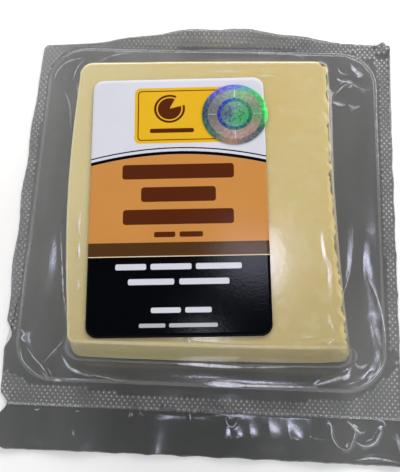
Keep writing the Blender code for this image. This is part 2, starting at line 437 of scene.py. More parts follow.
class Bench:
    """Lays out the nodes of one material, or of the world."""

    soft: float = 0.1

    def __init__(self, name: str, world: bool = False) -> None:
        """Starts a material or a world that holds only its output."""
        self.owner = (bpy.data.worlds if world else bpy.data.materials).new(name)
        self.owner.use_nodes = True
        self.tree = self.owner.node_tree
        self.tree.nodes.clear()
        self.output = self.add("OutputWorld" if world else "OutputMaterial")

    def add(self, kind: str, **settings: object) -> bpy.types.Node:
        """Adds a node.

        Args:
            kind: The node's type, without ShaderNode.
            **settings: Its properties.

        Returns:
            The node.
        """
        node = self.tree.nodes.new("ShaderNode" + kind)
        for key, value in settings.items():
            setattr(node, key, value)
        return node

    def feed(self, socket: Socket, value: object) -> None:
        """Joins another node's socket to this one, or sets its value."""
        if isinstance(value, Socket):
            self.tree.links.new(value, socket)
        elif value is not None:
            socket.default_value = value

    def math(self, operation: str, first: object, second: object = None, third: object = None,
             clamp: bool = False) -> Socket:
        """Adds a sum of one, two or three numbers and returns its result."""
        node = self.add("Math", operation=operation, use_clamp=clamp)
        for socket, value in zip(node.inputs, (first, second, third)):
            self.feed(socket, value)
        return node.outputs[0]

    def times(self, first: object, second: object, clamp: bool = False) -> Socket:
        """Multiplies two numbers."""
        return self.math("MULTIPLY", first, second, clamp=clamp)

    def rest(self, share: object) -> Socket:
        """What a share leaves of 1."""
        return self.math("SUBTRACT", 1.0, share)

    def over(self, value: object, edge: float) -> Socket:
        """A mask that is 1 where the value is over an edge, soft enough not to step."""
        return self.spread(value, edge - self.soft / 2, edge + self.soft / 2)

    def between(self, value: object, low: float, high: float) -> Socket:
        """A mask that is 1 between two edges."""
        away = self.math("ABSOLUTE", self.math("SUBTRACT", value, (low + high) / 2))
        return self.rest(self.over(away, (high - low) / 2))

    def parts(self, vector: Socket) -> tuple[Socket, Socket]:
        """The x and the y of a vector."""
        node = self.add("SeparateXYZ")
        self.feed(node.inputs[0], vector)
        return node.outputs["X"], node.outputs["Y"]

    def vector(self, operation: str, first: object, second: object = None) -> Socket:
        """Adds a vector sum and returns its vector, or its number for a length or a product."""
        node = self.add("VectorMath", operation=operation)
        self.feed(node.inputs[0], first)
        self.feed(node.inputs[1], second)
        return node.outputs["Value" if operation in ("LENGTH", "DOT_PRODUCT") else "Vector"]

    def toned(self, colour: Socket, tone: object) -> Socket:
        """Makes a colour lighter or darker."""
        scaled = self.vector("SCALE", colour)
        self.feed(scaled.node.inputs["Scale"], tone)
        return scaled

    def mix(self, share: object, first: object, second: object) -> Socket:
        """Blends two colours.

        Args:
            share: Share of the second.
            first: First colour.
            second: Second colour.

        Returns:
            The blended colour.
        """
        node = self.add("Mix", data_type="RGBA")
        self.feed(node.inputs[0], share)
        self.feed(node.inputs[6], first)
        self.feed(node.inputs[7], second)
        return node.outputs[2]

    def place(self, centre: tuple[float, float] = (0.0, 0.0), turn: float = 0.0) -> Socket:
        """Object coordinates in millimetres, about a centre and turned with it."""
        spot = self.add("TexCoord")
        mapping = self.add("Mapping", vector_type="TEXTURE")
        self.feed(mapping.inputs["Vector"], spot.outputs["Object"])
        mapping.inputs["Location"].default_value = (centre[0] * MM, centre[1] * MM, 0.0)
        mapping.inputs["Rotation"].default_value = (0.0, 0.0, turn)
        mapping.inputs["Scale"].default_value = (MM, MM, MM)
        return mapping.outputs["Vector"]

    def stretched(self, vector: Socket, scale: tuple[float, float, float]) -> Socket:
        """Scales a vector, so that a texture on it comes out longer one way."""
        mapping = self.add("Mapping")
        self.feed(mapping.inputs["Vector"], vector)
        mapping.inputs["Scale"].default_value = scale
        return mapping.outputs["Vector"]

    def noise(self, vector: Socket, scale: float, detail: float = 3.0,
              rough: float = 0.5) -> Socket:
        """Adds soft noise and returns its number, 0 to 1."""
        node = self.add("TexNoise")
        self.feed(node.inputs["Vector"], vector)
        node.inputs["Scale"].default_value = scale
        node.inputs["Detail"].default_value = detail
        node.inputs["Roughness"].default_value = rough
        return node.outputs["Fac"]

    def spread(self, value: object, low: float, high: float, to_low: float = 0.0,
               to_high: float = 1.0) -> Socket:
        """Maps one range of numbers onto another, and holds it there."""
        node = self.add("MapRange", clamp=True)
        for socket, number in zip(node.inputs, (value, low, high, to_low, to_high)):
            self.feed(socket, number)
        return node.outputs["Result"]

    def bump(self, height: Socket, depth: float) -> Socket:
        """Turns a height into a normal, with its depth in millimetres."""
        node = self.add("Bump")
        self.feed(node.inputs["Height"], height)
        node.inputs["Distance"].default_value = depth * MM
        return node.outputs["Normal"]

    def shader(self, **inputs: object) -> bpy.types.Node:
        """Adds a Principled shader.

        Args:
            **inputs: Its sockets, with _ for a space in their names.

        Returns:
            The shader's node.
        """
        node = self.add("BsdfPrincipled")
        for key, value in inputs.items():
            self.feed(node.inputs[key.replace("_", " ")], value)
        return node

    def done(self, surface: bpy.types.Node) -> bpy.types.Material | bpy.types.World:
        """Joins the last shader to the output and hands the material or the world over."""
        self.feed(self.output.inputs["Surface"], surface.outputs[0])
        return self.owner

    def gloss_share(self, least: float, grazing: float) -> Socket:
        """Share of light that a clear face mirrors, more at a grazing look."""
        facing = self.add("LayerWeight").outputs["Facing"]
        return self.math("MULTIPLY_ADD", self.math("POWER", facing, 5.0), grazing - least, least)

    def see_through(self, share: Socket, tint: Colour,
                    shader: bpy.types.Node) -> bpy.types.Material:
        """Mixes a shader over a clear sheet.

        Args:
            share: Share of the shader.
            tint: Colour of what is seen through the sheet.
            shader: The shader on top.

        Returns:
            The finished material.
        """
        clear = self.add("BsdfTransparent")
        clear.inputs["Color"].default_value = tint
        blend = self.add("MixShader")
        self.feed(blend.inputs[0], share)
        self.feed(blend.inputs[1], clear.outputs[0])
        self.feed(blend.inputs[2], shader.outputs[0])
        return self.done(blend)


@dataclass(frozen=True)
class SmokyWebFinish:
    """Smoky grey back web, with painted shade and light: darker towards its loose front edge, towards its
    right and at its back edge, lighter at its far left and at both ends of its front.
    """

    # The darker front colour is painted shade towards the loose front edge.
    back: Colour = linear(133, 133, 131)
    front: Colour = linear(92, 92, 90)
    opacity: float = 0.9

    def material(self) -> bpy.types.Material:
        """Builds the material."""
        bench = Bench("smoky back web")
        place = bench.place()
        x, y = bench.parts(place)
        # Painted shade: the web fades from its back colour to its darker front colour towards its loose
        # front edge.
        share = bench.spread(y, -56.0, -12.0)
        drawn = bench.stretched(place, (1.0, 0.2, 1.0))
        clouds = bench.spread(bench.noise(drawn, 0.06), 0.3, 0.7, 0.82, 1.16)
        # Painted shade and light behind: darker towards the right and at the back edge, lighter at the far
        # left.
        behind = bench.times(bench.spread(x, 5.0, 50.0, 1.0, 0.64), bench.spread(x, -58.0, -40.0, 1.18, 1.0))
        behind = bench.times(behind, bench.spread(y, 46.0, 60.0, 1.0, 0.92))
        # Painted light and shade in front: lighter at the left and towards the strip's right, darker in the
        # middle.
        ahead = bench.times(bench.spread(x, -42.0, -8.0, 1.34, 0.82), bench.spread(x, 8.0, 42.0, 1.0, 2.0))
        tone = bench.math("ADD", bench.times(share, behind), bench.times(bench.rest(share), ahead))
        colour = bench.toned(bench.mix(share, self.front, self.back), bench.times(clouds, tone))
        dimple = bench.noise(place, 0.5, 2.0)
        shader = bench.shader(Base_Color=colour, Roughness=0.4, Normal=bench.bump(dimple, 0.06))
        return bench.see_through(self.opacity, linear(190, 190, 188), shader)


@dataclass(frozen=True)
class ClearFilmFinish:
    """Clear glossy film: what is behind it shows, and it mirrors more at a grazing look."""

    name: str
    least: float = 0.04
    grazing: float = 0.5
    roughness: float = 0.13
    sheen: Colour = (0.96, 0.97, 1.0, 1.0)

    def material(self) -> bpy.types.Material:
        """Builds the material."""
        bench = Bench(self.name)
        place = bench.place()
        ripple = bench.noise(place, 0.16, 2.0, 0.5)
        grain = bench.noise(place, 1.3, 2.0, 0.6)
        height = bench.math("MULTIPLY_ADD", grain, 0.22, ripple)
        shader = bench.shader(
            Base_Color=self.sheen,
            Metallic=1.0,
            Roughness=self.roughness,
            Normal=bench.bump(height, 0.035),
        )
        share = bench.gloss_share(self.least, self.grazing)
        return bench.see_through(share, (0.975, 0.98, 0.985, 1.0), shader)


@dataclass(frozen=True)
class KnurlFinish:
    """Film pressed into small studs, each lighter at its tip as a painted highlight, which the mesh's own
    "tip" marks.
    """

    base: float = 0.11
    # Share of the painted highlight on each stud's tip.
    tip: float = 0.66
    sheen: Colour = (0.86, 0.86, 0.86, 1.0)

    def material(self) -> bpy.types.Material:
        """Builds the material."""
        bench = Bench("knurled seal")
        tip = bench.add("Attribute", attribute_name="tip").outputs["Fac"]
        # The painted highlights on the tips come and go in patches.
        patchy_glint = bench.spread(bench.noise(bench.place(), 0.09, 3.0), 0.32, 0.68, 0.55, 1.35)
        # Painted highlight: a pale glossy layer over the clear film, strongest at each stud's tip.
        share = bench.math("MULTIPLY_ADD", bench.math("POWER", tip, 2.6), self.tip, self.base)
        share = bench.times(share, patchy_glint, clamp=True)
        shader = bench.shader(Base_Color=self.sheen, Roughness=0.18, Specular_IOR_Level=0.9)
        return bench.see_through(share, (0.97, 0.975, 0.98, 1.0), shader)


@dataclass(frozen=True)
class CreaseFinish:
    """Film pressed together in a sharp crease: whitened along it, as the mesh's own "crease" marks, partly
    as the film's stress whitening and partly as a painted highlight.
    """

    # Lilac white of the stress whitening and of the painted highlight.
    white: Colour = linear(238, 238, 252)

    def material(self) -> bpy.types.Material:
        """Builds the material."""
        bench = Bench("pressed crease with painted glint")
        mark = bench.add("Attribute", attribute_name="crease").outputs["Fac"]
        # The whitening and its painted highlight come and go in patches.
        patchy_glint = bench.spread(bench.noise(bench.place(), 0.5, 3.0, 0.6), 0.32, 0.66, 0.35, 1.15)
        share = bench.times(mark, patchy_glint, clamp=True)
        shader = bench.shader(Base_Color=self.white, Roughness=0.3, Specular_IOR_Level=0.6)
        return bench.see_through(share, (1.0, 1.0, 1.0, 1.0), shader)


@dataclass(frozen=True)
class CheddarFinish:
    """Pale cheddar: creamy and even, with faint mottling, curd joints and knife drag, and painted shade that
    darkens it towards the front.
    """

    body: Colour = linear(220, 200, 138)
    warm: Colour = linear(221, 195, 129)
    pale: Colour = linear(226, 214, 168)
    left: Colour = linear(226, 210, 158)

    def material(self) -> bpy.types.Material:
        """Builds the material."""
        bench = Bench("cheddar")
        place = bench.place()
        x, y = bench.parts(place)
        across = bench.spread(x, -36.0, 20.0)
        broad = bench.spread(bench.noise(place, 0.045, 2.0), 0.35, 0.68)
        colour = bench.mix(broad, self.body, self.warm)
        colour = bench.mix(across, self.left, colour)
        # Painted shade: the cheese darkens towards its front.
        ahead = bench.spread(y, -41.0, 0.0, 0.72, 0.0)
        colour = bench.mix(ahead, colour, linear(201, 184, 130))
        mottle = bench.spread(bench.noise(place, 0.22, 4.0, 0.6), 0.52, 0.75, 0.0, 0.5)
        colour = bench.mix(mottle, colour, self.pale)
        curds = bench.add("TexVoronoi", feature="DISTANCE_TO_EDGE")
        bench.feed(curds.inputs["Vector"], bench.stretched(place, (0.13, 0.13, 0.13)))
        curds.inputs["Scale"].default_value = 1.0
        joint = bench.spread(curds.outputs["Distance"], 0.0, 0.05, 0.04, 0.0)
        colour = bench.mix(joint, colour, linear(168, 140, 82))
        drag = bench.noise(bench.stretched(place, (0.08, 0.35, 0.3)), 1.0, 3.0, 0.5)
        grain = bench.noise(place, 1.6, 4.0, 0.7)
        height = bench.math("ADD", bench.times(drag, 0.6), bench.times(grain, 0.4))
        shader = bench.shader(
            Base_Color=colour,
            Roughness=bench.spread(grain, 0.3, 0.7, 0.42, 0.6),
            Specular_IOR_Level=0.35,
            Subsurface_Weight=0.3,
            Subsurface_Radius=(1.0, 0.75, 0.4),
            Subsurface_Scale=2.6 * MM,
            Normal=bench.bump(height, 0.12),
        )
        return bench.done(shader)


class Ink(Enum):
    """Inks of the label."""

    WHITE = linear(209, 210, 220)
    GOLD = linear(222, 174, 38)
    ORANGE = linear(199, 137, 71)
    BROWN = linear(80, 53, 27)
    COCOA = linear(84, 38, 17)
    BLACK = linear(6, 7, 10)
    PAPER_GREY = linear(178, 180, 186)
    CREAM = linear(232, 214, 178)


@dataclass(frozen=True)
class Bar:
    """A plain rounded bar of one ink, in the label's own millimetres."""

    ink: Ink
    left: float
    right: float
    low: float
    high: float
    rounding: float


# Rows of plain bars where a label carries its lines of words: ink, lower and upper edge, rounding of
# the corners, and the left and right end of each bar.
BAR_ROWS = (
    (Ink.COCOA, 6.9, 11.4, 0.9, ((-16.2, 16.0),)),
    (Ink.COCOA, -0.1, 4.4, 0.9, ((-10.7, 10.7),)),
    (Ink.COCOA, -6.9, -2.4, 0.9, ((-15.8, 15.7),)),
    (Ink.COCOA, -10.7, -9.1, 0.5, ((-6.9, -0.9), (0.3, 6.9))),
    (Ink.WHITE, -20.1, -18.4, 0.5, ((-17.6, -9.0), (-7.8, 3.6), (4.8, 17.5))),
    (Ink.WHITE, -24.4, -22.7, 0.5, ((-14.0, -1.2), (0.2, 14.0))),
    (Ink.WHITE, -32.3, -30.8, 0.5, ((-7.6, 0.6), (1.8, 9.0))),
    (Ink.PAPER_GREY, -36.3, -35.2, 0.4, ((-10.8, -3.6), (-2.6, 10.6))),
)
LABEL_BARS = tuple(
    Bar(ink, left, right, low, high, rounding)
    for ink, low, high, rounding, spans in BAR_ROWS
    for left, right in spans
)


@dataclass(frozen=True)
class LabelPrint:
    """The label's printed fields: white, gold plaque, orange, brown and black, with plain bars."""

    arch: float = 0.005

    def bar(self, bench: Bench, place: Socket, bar: Bar) -> Socket:
        """A mask that is 1 on a rounded bar."""
        centre = ((bar.left + bar.right) / 2, (bar.low + bar.high) / 2, 0.0)
        half = ((bar.right - bar.left) / 2 - bar.rounding, (bar.high - bar.low) / 2 - bar.rounding, 1e4)
        away = bench.vector("ABSOLUTE", bench.vector("SUBTRACT", place, centre))
        outside = bench.vector("MAXIMUM", bench.vector("SUBTRACT", away, half), (0.0, 0.0, 0.0))
        distance = bench.vector("LENGTH", outside)
        return bench.rest(bench.over(distance, bar.rounding))

    def wheel(self, bench: Bench, place: Socket, centre: tuple[float, float],
              radius: float) -> Socket:
        """A mask of a plain wheel with one slice drawn out of it."""
        local = bench.vector("SUBTRACT", place, (*centre, 0.0))
        flat = bench.vector("MULTIPLY", local, (1.0, 1.0, 0.0))
        distance = bench.vector("LENGTH", flat)
        disc = bench.rest(bench.over(distance, radius))
        rim = bench.between(distance, radius - 1.1, radius - 0.7)
        x, y = bench.parts(flat)
        angle = bench.math("ARCTAN2", y, x)
        slice_out = bench.between(angle, 0.25, 1.1)
        kept = bench.rest(bench.math("MAXIMUM", rim, slice_out))
        return bench.times(disc, kept)

    def colour(self, bench: Bench, place: Socket) -> Socket:
        """Lays the fields over each other.

        Args:
            bench: The material's nodes.
            place: The label's own millimetres.

        Returns:
            The printed colour.
        """
        across, up = bench.parts(place)
        arched = bench.math("MULTIPLY_ADD", bench.times(across, across), self.arch, up)
        colour = bench.mix(bench.over(arched, 14.5), Ink.ORANGE.value, Ink.WHITE.value)
        colour = bench.mix(bench.between(arched, 14.5, 15.5), colour, Ink.BLACK.value)
        colour = bench.mix(bench.between(arched, 16.35, 16.75), colour, Ink.BLACK.value)
        brown = bench.rest(bench.over(up, -12.2))
        colour = bench.mix(brown, colour, Ink.BROWN.value)
        colour = bench.mix(bench.between(up, -16.4, -16.15), colour, Ink.CREAM.value)
        black = bench.rest(bench.over(up, -16.4))
        colour = bench.mix(black, colour, Ink.BLACK.value)
        plaque = self.bar(bench, place, Bar(Ink.GOLD, -12.9, 14.4, 18.1, 36.1, 1.6))
        colour = bench.mix(plaque, colour, Ink.GOLD.value)
        frame = self.bar(bench, place, Bar(Ink.BLACK, -12.0, 13.5, 19.0, 35.2, 1.1))
        inner = self.bar(bench, place, Bar(Ink.GOLD, -11.7, 13.2, 19.3, 34.9, 0.9))
        line = bench.times(frame, bench.rest(inner))
        colour = bench.mix(line, colour, Ink.COCOA.value)
        colour = bench.mix(self.wheel(bench, place, (-2.6, 29.2), 4.6), colour, Ink.COCOA.value)
        below = self.bar(bench, place, Bar(Ink.COCOA, -8.4, 4.6, 21.4, 22.8, 0.6))
        colour = bench.mix(below, colour, Ink.COCOA.value)
        for bar in LABEL_BARS:
            colour = bench.mix(self.bar(bench, place, bar), colour, bar.ink.value)
        return colour


@dataclass(frozen=True)
class LabelFinish:
    """Coated paper with its print."""

    print_plan: LabelPrint = LabelPrint()

    def material(self) -> bpy.types.Material:
        """Builds the material."""
        bench = Bench("printed paper")
        place = bench.place(LABEL_CENTRE, LABEL_TURN)
        colour = self.print_plan.colour(bench, place)
        fibre = bench.noise(place, 1.2, 4.0, 0.6)
        tint = bench.spread(bench.noise(place, 0.06, 2.0), 0.3, 0.7, 0.97, 1.03)
        shader = bench.shader(
            Base_Color=bench.toned(colour, tint),
            Roughness=0.1,
            Specular_IOR_Level=0.1,
            Normal=bench.bump(fibre, 0.012),
        )
        return bench.done(shader)


# Colours once round the foil: share of the turn, then red, green and blue steps.
FOIL_RIM = (
    (0.0, 48, 92, 112), (0.12, 62, 120, 104), (0.22, 170, 130, 96), (0.3, 120, 104, 120),
    (0.4, 70, 110, 100), (0.5, 48, 206, 84), (0.64, 70, 186, 104), (0.76, 96, 104, 214),
    (0.86, 104, 92, 206), (0.95, 62, 96, 122), (1.0, 48, 92, 112),
)
FOIL_MIDDLE = (
    (0.0, 142, 138, 132), (0.25, 178, 146, 134), (0.4, 196, 160, 146), (0.5, 110, 190, 118),
    (0.6, 152, 148, 132), (0.7, 118, 178, 112), (0.82, 140, 150, 150), (1.0, 142, 138, 132),
)
FOIL_INNER = (
    (0.0, 26, 44, 206), (0.2, 24, 84, 130), (0.4, 26, 116, 92), (0.55, 30, 150, 92),
    (0.72, 26, 112, 128), (0.86, 24, 52, 196), (1.0, 26, 44, 206),
)
FOIL_DISC = (
    (0.0, 104, 132, 134), (0.3, 70, 176, 110), (0.46, 62, 204, 112), (0.7, 110, 156, 132),
    (1.0, 104, 132, 134),
)


@dataclass(frozen=True)
class FoilFinish:
    """Rainbow foil with plain rings and a rosette."""

    centre: tuple[float, float]

    def material(self) -> bpy.types.Material:
        """Builds the material."""
        bench = Bench("patterned foil")
        place = bench.vector("MULTIPLY", bench.place(self.centre, LABEL_TURN), (1.0, 1.0, 0.0))
        x, y = bench.parts(place)
        radius = bench.vector("LENGTH", place)
        angle = bench.math("ARCTAN2", y, x)
        turn = bench.spread(angle, -math.pi, math.pi)
        rim, middle, inner, disc = (
            self.rainbow(bench, turn, stops) for stops in (FOIL_RIM, FOIL_MIDDLE, FOIL_INNER, FOIL_DISC)
        )
        colour = bench.mix(bench.over(radius, 5.2), disc, middle)
        colour = bench.mix(bench.over(radius, 8.0), colour, rim)
        colour = bench.mix(bench.between(radius, 4.1, 5.2), colour, inner)
        petals = bench.math("COSINE", bench.times(angle, 6.0))
        petal_edge = bench.math("MULTIPLY_ADD", petals, 0.7, 2.1)
        rosette = bench.math("ABSOLUTE", bench.math("SUBTRACT", radius, petal_edge))
        rosette_line = bench.rest(bench.over(rosette, 0.3))
        colour = bench.mix(bench.times(rosette_line, 0.75), colour, inner)
        cross = bench.math("SINE", bench.times(angle, 2.0))
        tick = bench.times(bench.times(bench.math("ABSOLUTE", cross), radius), 0.5)
        ticks = bench.times(bench.rest(bench.over(tick, 0.16)), bench.between(radius, 5.4, 7.9))
        colour = bench.mix(bench.times(ticks, 0.7), colour, linear(206, 222, 214))
        grain = bench.spread(bench.noise(place, 1.1, 3.0, 0.65), 0.45, 0.7)
        colour = bench.mix(bench.times(grain, 0.3), colour, linear(206, 222, 214))
        elsewhere = bench.vector("ADD", place, (31.0, 7.0, 0.0))
        dark = bench.spread(bench.noise(elsewhere, 0.9, 3.0, 0.6), 0.5, 0.7)
        colour = bench.mix(bench.times(dark, 0.35), colour, linear(74, 66, 84))
        grooves = bench.math("SINE", bench.times(radius, 18.0))
        shader = bench.shader(
            Base_Color=colour,
            Metallic=0.75,
            Roughness=0.32,
            Normal=bench.bump(grooves, 0.01),
        )
        return bench.done(shader)

    @staticmethod
    def rainbow(bench: Bench, turn: Socket, stops: Sequence[tuple[float, ...]]) -> Socket:
        """Runs through colours once round.

        Args:
            bench: The material's nodes.
            turn: Share of a full turn.
            stops: Share, red, green and blue of each stop.

        Returns:
            The colour at that turn.
        """
        node = bench.add("ValToRGB")
        ramp = node.color_ramp
        for end, (_, *steps) in zip(ramp.elements, (stops[0], stops[-1])):
            end.color = linear(*steps)
        for share, *steps in stops[1:-1]:
            ramp.elements.new(share).color = linear(*steps)
        bench.feed(node.inputs[0], turn)
        return node.outputs["Color"]


@dataclass
class BackWeb(Piece):
    """The flat web that the block lies on, cut to the pack's outline."""

    name: str = "back_web"
    slot: str = "back_web"
    replaces: tuple[str, ...] = ("base_web",)
    side_steps: int = 112
    arc_steps: int = 10
    shrink: tuple[float, ...] = (1.0, 0.985, 0.965, 0.945, 0.925, 0.905, 0.88, 0.84, 0.76, 0.6, 0.35, 0.0)

    def rows(self, height: float) -> list[np.ndarray]:
        """Rows from the cut edge to the middle, at a height over the table."""
        cut = CUT.walk(self.side_steps, self.arc_steps)
        return [row(cut * share, sheet_lift(cut * share) + height) for share in self.shrink]

    def build(self) -> bpy.types.Object:
        """Builds the web with its underside."""
        rows = list(reversed(self.rows(0.0))) + self.rows(WEB_TOP)
        return self.finish(wrapped_sheet(rows), SmokyWebFinish().material(), 40.0)


@dataclass
class CheddarBlock(Piece):
    """The block: knife-cut, soft at its edges, with its right side crumbled.

    Attributes:
        walls: Rows of the walls.
        top_round: Rounding of the upper edge, in millimetres.
        foot_round: Rounding of the lower edge.
        right_crumble: Depth to which the right side is broken.
        crumble: Depth to which the other sides are rough.
        chip: Size of one chip.
        lump: Size of a broad unevenness.
        grit: Size of a fine one.
    """

    name: str = "cheddar"
    slot: str = "cheddar"
    replaces: tuple[str, ...] = ("cheese_block",)
    side_steps: int = 110
    arc_steps: int = 10
    walls: int = 22
    top_round: float = 1.0
    foot_round: float = 1.0
    right_crumble: float = 1.9
    crumble: float = 0.12
    chip: float = 2.9
    lump: float = 5.0
    grit: float = 1.7

    def section(self) -> list[tuple[float, float]]:
        """Height and inset of each row, from the foot's edge to the top's."""
        low, high = BLOCK_FOOT + self.foot_round, BLOCK_TOP - self.top_round
        foot = [math.radians(a) for a in (0, 30, 60)]
        top = [math.radians(a) for a in range(10, 91, 10)]
        r = self.foot_round
        pairs = [(BLOCK_FOOT + r * (1 - math.cos(a)), r * (1 - math.sin(a))) for a in foot]
        pairs += [(low + (high - low) * step / self.walls, 0.0) for step in range(self.walls + 1)]
        pairs += [(high + self.top_round * math.sin(a), self.top_round * (1 - math.cos(a))) for a in top]
        return pairs

    def broken(self, outline: np.ndarray, height: float) -> np.ndarray:
        """How deep the side is broken at each point of a row.

        Args:
            outline: The row's points.
            height: Its height.

        Returns:
            Depths in millimetres.
        """
        places = np.column_stack([outline, np.full(len(outline), height)])
        right = smooth_step(31.0, 35.0, outline[:, 0]) * smooth_step(-41.4, -39.0, outline[:, 1])
        chips = np.array([noise.voronoi(Vector(p) / self.chip)[0][0] for p in places])
        rough = np.abs(roughness_at(places, self.lump)) + 0.35 * np.abs(roughness_at(places, self.grit, 4.0))
        deep = 0.55 * smooth_step(0.15, 0.75, chips) + 0.6 * rough
        return self.crumble * rough + (self.right_crumble - self.crumble) * deep * right

    def build(self) -> bpy.types.Object:
        """Builds the block."""
        outline = BLOCK.walk(self.side_steps, self.arc_steps)
        rows = []
        for height, inset in self.section():
            plain = leaned(outline, height, BLOCK_GROWN - inset)
            rows.append(row(grown(plain, -self.broken(plain, height)), height))
        edge = rows[-1][:, :2] / MM
        calm = leaned(outline, BLOCK_TOP, BLOCK_GROWN - self.top_round - self.right_crumble / 2)
        shares = (0.99, 0.975, 0.955, 0.93, 0.9, 0.84, 0.76, 0.66, 0.54, 0.4, 0.25, 0.12, 0.0)
        for share, inner, even in zip(shares, closing(edge, shares), closing(calm, shares)):
            inner = inner + (even - inner) * smooth_step(1.0, 0.93, share)
            sag = 0.08 * roughness_at(inner, 14.0, 2.0) * smooth_step(1.0, 0.93, share)
            rows.append(row(inner, BLOCK_TOP + sag - 0.06))
        centre = outline.mean(axis=0)
        foot = rows[0][:, :2] / MM
        under = [row(centre + (foot - centre) * share, BLOCK_FOOT) for share in (0.0, 0.4, 0.8)]
        return self.finish(wrapped_sheet(under + rows), CheddarFinish().material())


@dataclass(frozen=True)
class Fold:
    """A crease or a swell of the slack film.

    Attributes:
        path: Points that its crest runs through, in millimetres.
        width: How far its flanks reach from the crest, in millimetres.
        height: How far it stands out of the film, in millimetres.
        line: Width of the sharp crease along its crest, in millimetres, or 0.
        white: How far that crease is whitened, 0 to 1, partly as the film's stress whitening and partly as a
            painted highlight.
    """

    path: Path
    width: float
    height: float
    line: float = 0.0
    white: float = 0.0

    def push(self, points: np.ndarray) -> np.ndarray:
        """How far it pushes each point outwards, tapering to its ends.

        Args:
            points: Rows of x and y, in millimetres.

        Returns:
            The push of each point, in millimetres.
        """
        crest = np.array(self.path)
        run = run_along(crest)
        nearest = np.full(len(points), np.inf)
        along = np.zeros(len(points))
        for start, end, before in zip(crest, crest[1:], run):
            length = np.linalg.norm(end - start)
            step = (end - start) / length
            reach = np.clip((points - start) @ step, 0.0, length)
            away = np.linalg.norm(points - start - reach[:, None] * step, axis=1)
            closer = away < nearest
            nearest[closer] = away[closer]
            along[closer] = (before + reach[closer]) / run[-1]
        taper = np.sin(math.pi * np.clip(along, 0.0, 1.0)) ** 0.7
        return self.height * taper * np.exp(-((nearest / self.width) ** 2))
